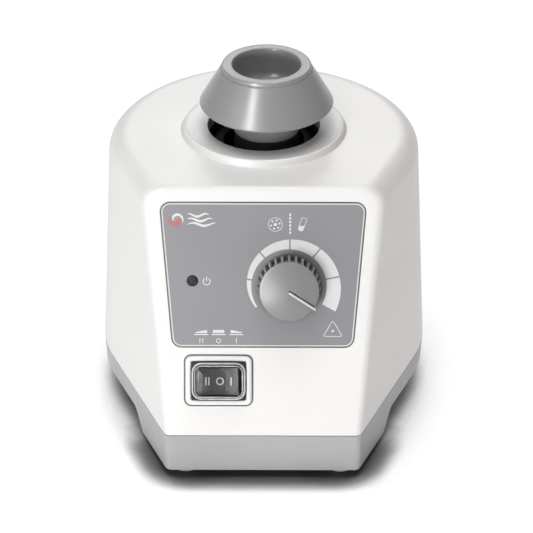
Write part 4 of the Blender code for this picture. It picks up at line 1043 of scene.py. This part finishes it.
def speed_knob():
    """Knob with grooves that run out below its softly domed face, and its pale pointer bar."""
    made = mesh_object("speed_knob_moulding", skin(knob_rings()), DIAL)
    turn = DIAL @ Matrix.Rotation(POINTER_REST, 4, "Z")
    outline = [(-0.1, -0.78), (12.6, -0.78), (12.6, 0.62), (-0.1, 0.62)]
    carved(made, [("DIFFERENCE", slab(outline, KNOB_TOP_W - 1.3, KNOB_TOP_W + 2.0), turn)])
    dress(made, "knob_grey", "dial", ("speed_knob",), sharp=48.0)
    middle = (6.1, -0.32)
    bar = rectangle((12.0, 0.82), 0.3, middle, 4)
    top = rectangle((11.8, 0.62), 0.25, middle, 4)
    rings = [level(bar, KNOB_TOP_W - 1.25), level(bar, KNOB_TOP_W + 0.05)]
    rings.append(level(top, KNOB_TOP_W + 0.18))
    made = mesh_object("knob_pointer_bar", skin(rings), turn)
    dress(made, "pointer_white", "dial", ("knob_pointer",), sharp=50.0)


# ---- switch


def rocker_top(u):
    """Height of the rocker's dished top at u, above the front wall."""
    return 1.72 + 0.48 * (u / ROCKER_HALF) ** 2


def rocker():
    """Dished rocker with a rounded underside, and its marks."""
    half, depth, steps = ROCKER_HALF, 5.3, 16
    lower = [(half - 0.5, -0.4), (6.8, -1.6), (3.0, -4.6)]
    side_view = [(-half, rocker_top(half))]
    side_view += [(-u, w) for u, w in lower] + lower[::-1]
    side_view.append((half, rocker_top(half)))
    for k in range(1, steps):
        u = half * (1.0 - 2.0 * k / steps)
        side_view.append((u, rocker_top(u)))
    shape = skin([[(u, v, w) for u, w in side_view] for v in (-depth, depth)])
    made = mesh_object("rocker_moulding", shape, SWITCH)
    dress(made, "black_plastic", "rocker", ("rocker",), edge=0.35)

    marks = []
    raised, ring_place = 0.03, (0.55, 0.0)
    for u in (-4.75, -3.65, 4.75):
        marks.append(slab(rectangle((0.5, 3.2), 0.2, (u, 0.0), 4), -raised, raised))
    marks.append(band(circle(1.5, 40, ring_place), circle(1.02, 40, ring_place), -raised, raised))
    points, faces = merged(*marks)
    laid = [(u, v, rocker_top(u) + w) for u, v, w in points]
    made = mesh_object("rocker_marks", (laid, faces), SWITCH)
    dress(made, "print_grey", "rocker", sharp=30.0)


def cap_rings(profile):
    """Rounded rectangles that follow a profile of (inset, height) points."""
    width, length, corner = 20.3, 14.3, 3.7
    rings = []
    for inset, w in profile:
        size = (width - 2.0 * inset, length - 2.0 * inset)
        rings.append(level(rectangle(size, max(corner - inset, 0.5), steps=8), w))
    return rings


def splash_cap():
    """Clear moulded cover over the rocker, with a bead around its foot and one around its crown; the
    beads' pale colour is a painted highlight for the bright lines along the cap's edges.
    """
    thickness = 0.45
    crown = [(1.5 + 1.1 * k, 3.75 + 0.16 * k * (1.0 - 0.12 * k)) for k in range(1, 5)]
    inside = [(inset, w - thickness) for inset, w in reversed(crown)] + [(1.3, 3.1), (1.0, 1.2)]
    outside = [(0.25, 1.2), (0.35, 1.9), (0.95, 2.2), (1.05, 3.5), (1.5, 3.85)] + crown
    made = mesh_object("rocker_cap_clear", skin(cap_rings(inside + outside)), SWITCH)
    dress(made, "clear_silicone", "housing", ("rocker_cap",), sharp=50.0)

    beads = []
    for middle, w, radius in ((0.3, 2.05, 0.33), (1.2, 2.9, 0.22)):
        section = [(middle + x, w + z) for x, z in circle(radius, 10)]
        beads.append(skin(cap_rings(section), closed=True))
    # pale beads: painted highlight along the cap's edges
    made = mesh_object("rocker_cap_beads", merged(*beads), SWITCH)
    dress(made, "cap_bead_painted_highlight", "housing", sharp=60.0)


# ---- cup


def cup():
    """Cone with a rounded rim and a deep round bowl, and the stem that stands in the opening."""
    flare_z, flare, rim, bore = 123.1, 25.8, 17.3, 12.9
    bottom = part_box("rubber_cup")[0].z / MM
    stem = [(7.3, bottom, 0.0), (12.6, bottom, 1.2), (14.2, 117.4, 2.5), (16.5, 120.4, 2.5)]
    cone = [(flare - 0.9, 122.2, 0.5), (flare, flare_z, 0.45), (rim + 0.45, HEIGHT - 2.0, 0.12)]
    lip = [(rim - 0.1, HEIGHT - 1.75, 0.15), (rim + 0.1, HEIGHT - 1.2, 0.2), (rim - 0.35, HEIGHT, 0.7)]
    bowl = [(bore + 0.3, HEIGHT, 0.6), (bore, HEIGHT - 2.0, 2.0), (bore - 0.2, 127.2, 4.0)]
    bowl += [(6.5, 124.7, 6.0), (0.05, 124.6, 0.0)]
    profile = filleted(stem + cone + lip + bowl, steps=7) + [(0.05, 122.1), (7.3, 122.1)]
    made = mesh_object("rubber_cup_moulding", lathe(profile, 160, closed=True), CUP)
    dress(made, "cup_rubber", "cup", ("rubber_cup",), sharp=55.0)
    skirt = [(9.4, 98.2, 0.0), (12.4, 98.2, 0.5), (12.6, 99.2, 0.3)]
    skirt += [(12.2, 110.7, 0.5), (7.0, 110.7, 0.0)]
    neck = [(7.0, 121.2, 0.0), (6.0, 121.8, 0.0), (2.6, 121.8, 0.0), (2.6, 107.6, 0.0)]
    seat = [(7.0, 107.6, 0.0), (7.0, 106.2, 0.0), (9.4, 106.2, 0.0)]
    holder = filleted(skirt + neck + seat, steps=4)
    made = mesh_object("cup_holder_moulding", lathe(holder, 64, closed=True), CUP)
    dress(made, "seal_rubber", "cup", ("cup_holder",))


def sealing_boot():
    """Bellows from the motor up around the cup holder."""
    wide, narrow, wall = 29.0, 18.4, 1.2
    low, shoulder, lip = 82.1, 96.6, 104.4
    outside = [(12.0, low, 0.0), (wide, low, 0.8), (wide, shoulder, 1.0)]
    inside = []
    for k in range(1, 5):
        share = k / 4.0
        wave = 0.9 if k % 2 else 0.0
        radius = wide + (narrow - wide) * share
        z = shoulder + (lip - shoulder) * share + wave
        outside.append((radius, z, 0.8))
        inside.append((radius - wall, z - wall / 2.0, 0.5))
    outside += [(narrow, lip + wall, 0.4), (15.6, lip + wall, 0.4), (15.6, lip, 0.3)]
    inside.reverse()
    inside.append((wide - wall, shoulder - wall / 2.0, 0.5))
    inside += [(wide - wall, low + wall, 0.4), (12.0, low + wall, 0.0)]
    profile = filleted(outside + inside, steps=4)
    made = mesh_object("sealing_boot_bellows", lathe(profile, 72, closed=True), DRIVE)
    dress(made, "seal_rubber", "drive_carriage", ("sealing_boot",))


# ---- carried-over CAD nodes

# For each finish: how the names of its CAD nodes start, and how far their edges are rounded.
NODE_EDGES = {
    "plated_steel": {
        "housing_screw": 0.25, "board_screw": 0.15, "carriage_screw": 0.25, "carriage_spring": 0.0,
        "potentiometer_nut": 0.3, "motor_bearing": 0.3, "motor_shaft": 0.4, "cup_bearing": 0.3,
    },
    "black_plastic": {
        "potentiometer": 0.3, "speed_triac": 0.2, "filter_capacitor": 0.4, "mains_inlet": 0.5,
        "switch_body": 0.2, "touch_switch": 0.3,
    },
    "plate_steel": {"motor_plate": 0.3, "motor_can": 0.4, "motor_end_cap": 0.4, "balance_weight": 0.4},
    "contact_brass": {"potentiometer_shaft": 0.3, "inlet_pin": 0.3},
    "signal_red": {"power_led": 0.15, "touch_plunger": 0.2},
    "core_iron": {"stator_core": 0.2, "rotor_core": 0.2},
    "winding_copper": {"stator_winding": 1.0},
    "board_green": {"control_board": 0.1},
    "heat_sink_metal": {"triac_heat_sink": 0.15},
    "hub_zinc": {"eccentric_hub": 0.4},
}
NODE_LOOKS = {
    start: (look, edge) for look, edges in NODE_EDGES.items() for start, edge in edges.items()
}


def dress_nodes():
    """Give every CAD node that stays in view its finish and softly rounded edges."""
    names = sorted(NODE_LOOKS, key=len, reverse=True)
    for node, made in frame["nodes"].items():
        if made.hide_render:
            continue
        start = next((name for name in names if node.startswith(name)), None)
        if start is None:
            raise ValueError("no look for node " + node)
        look, edge = NODE_LOOKS[start]
        made.data.materials.clear()
        made.data.materials.append(LOOKS[look])
        if edge:
            round_edges(made, edge, angle=40.0)


# ---- stage

MIDDLE = (0.0, 0.0, 0.06)


def area_light(name, place, size, power, colour=(1.0, 1.0, 1.0), diffuse=True, glossy=True):
    """A soft box turned to the middle of the object; it may light only matt or only glossy parts."""
    light = bpy.data.lights.new(name, "AREA")
    light.shape = "RECTANGLE"
    light.size, light.size_y = size
    light.energy = power
    light.color = colour
    made = bpy.data.objects.new(name, light)
    bpy.context.scene.collection.objects.link(made)
    made.location = place
    made.rotation_mode = "QUATERNION"
    made.rotation_quaternion = (Vector(MIDDLE) - Vector(place)).to_track_quat("-Z", "Y")
    made.visible_diffuse = diffuse
    made.visible_glossy = glossy


def lights():
    area_light("key_low_left", (-0.42, -1.34, 0.22), (0.3, 0.3), 8.0, glossy=False)
    area_light("top_soft", (-0.05, 0.05, 1.55), (1.0, 1.0), 12.9)
    area_light("front_high", (-0.40, -0.95, 1.25), (0.5, 0.5), 2.6)
    area_light("back_rim", (0.0, 1.30, 0.50), (1.2, 0.3), 2.0, glossy=False)
    area_light("back_soft", (0.0, 1.15, 0.80), (1.0, 0.25), 4.8, diffuse=False)
    area_light("strip_sheen_left", (-0.72, -1.27, 0.60), (0.18, 1.0), 28.0, diffuse=False)
    area_light("left_sheen", (-1.20, -0.75, 0.62), (0.5, 0.7), 2.4, diffuse=False)
    area_light("front_sheen", (-0.34, -1.37, 0.26), (0.26, 0.26), 4.4, (1.0, 0.95, 0.96), diffuse=False)


def world():
    """Dim grey surroundings, darker and a little warmer on the right."""
    studio = bpy.data.worlds.new("studio")
    bpy.context.scene.world = studio
    studio.use_nodes = True
    nodes, links = studio.node_tree.nodes, studio.node_tree.links
    background = nodes["Background"]
    background.inputs["Strength"].default_value = 0.30
    direction = nodes.new("ShaderNodeTexCoord")
    split = nodes.new("ShaderNodeSeparateXYZ")
    tone = nodes.new("ShaderNodeValToRGB")
    tone.color_ramp.elements[0].color = (0.76, 0.76, 0.76, 1.0)
    tone.color_ramp.elements[1].color = (0.52, 0.38, 0.38, 1.0)
    links.new(direction.outputs["Generated"], split.inputs["Vector"])
    links.new(split.outputs["X"], tone.inputs["Fac"])
    links.new(tone.outputs["Color"], background.inputs["Color"])


def floor():
    """White floor that glows a little, with a painted shadow that darkens its colour and its glow close
    around and under the object.
    """
    half, thickness = 3000.0, 20.0
    corners = [(-half, -half), (half, -half), (half, half), (-half, half)]
    made = mesh_object("floor", slab(corners, -thickness, 0.0), Matrix())
    look = Look("floor_white", (0.62, 0.62, 0.62), 0.6).rough(90.0, 0.05).bump(0.8, 0.004, 0.3)
    # painted contact shadow, darkest right against the object
    contact = [(0.50, (0.055,) * 3), (0.74, (0.15,) * 3), (0.93, look.colour)]
    # painted shadow under the raised skirt and body, over a wider reach
    under = [(0.36, (0.08,) * 3), (0.64, (1.0,) * 3)]
    # painted shadow tone, used for both the floor's colour and its glow
    tone = look.blend(look.painted_shade_ramp(13.5, contact, 16), look.painted_shade_ramp(40.0, under, 16), "MULTIPLY")
    look.link(tone, look.shader.inputs["Base Color"])
    look.link(tone, look.shader.inputs["Emission Color"])
    look.set("Emission Strength", 0.84)
    made.data.materials.append(look.material)


def camera():
    made = bpy.data.objects.new("camera", bpy.data.cameras.new("camera"))
    bpy.context.scene.collection.objects.link(made)
    made.location = (0.00636, -1.11569, 0.70162)
    forward = Vector((-0.00408311, 0.86462463, -0.50240181))
    made.rotation_mode = "QUATERNION"
    made.rotation_quaternion = forward.to_track_quat("-Z", "Y")
    made.data.sensor_width = 36.0
    made.data.lens = 221.7
    made.data.clip_start, made.data.clip_end = 0.05, 20.0
    bpy.context.scene.camera = made
    bpy.context.scene.view_settings.view_transform = "Standard"


upper_housing()
switch_frame()
base_casting()
feet()
panel_overlay()
panel_print()
led_lens()
speed_knob()
rocker()
splash_cap()
cup()
sealing_boot()
dress_nodes()
floor()
world()
lights()
camera()
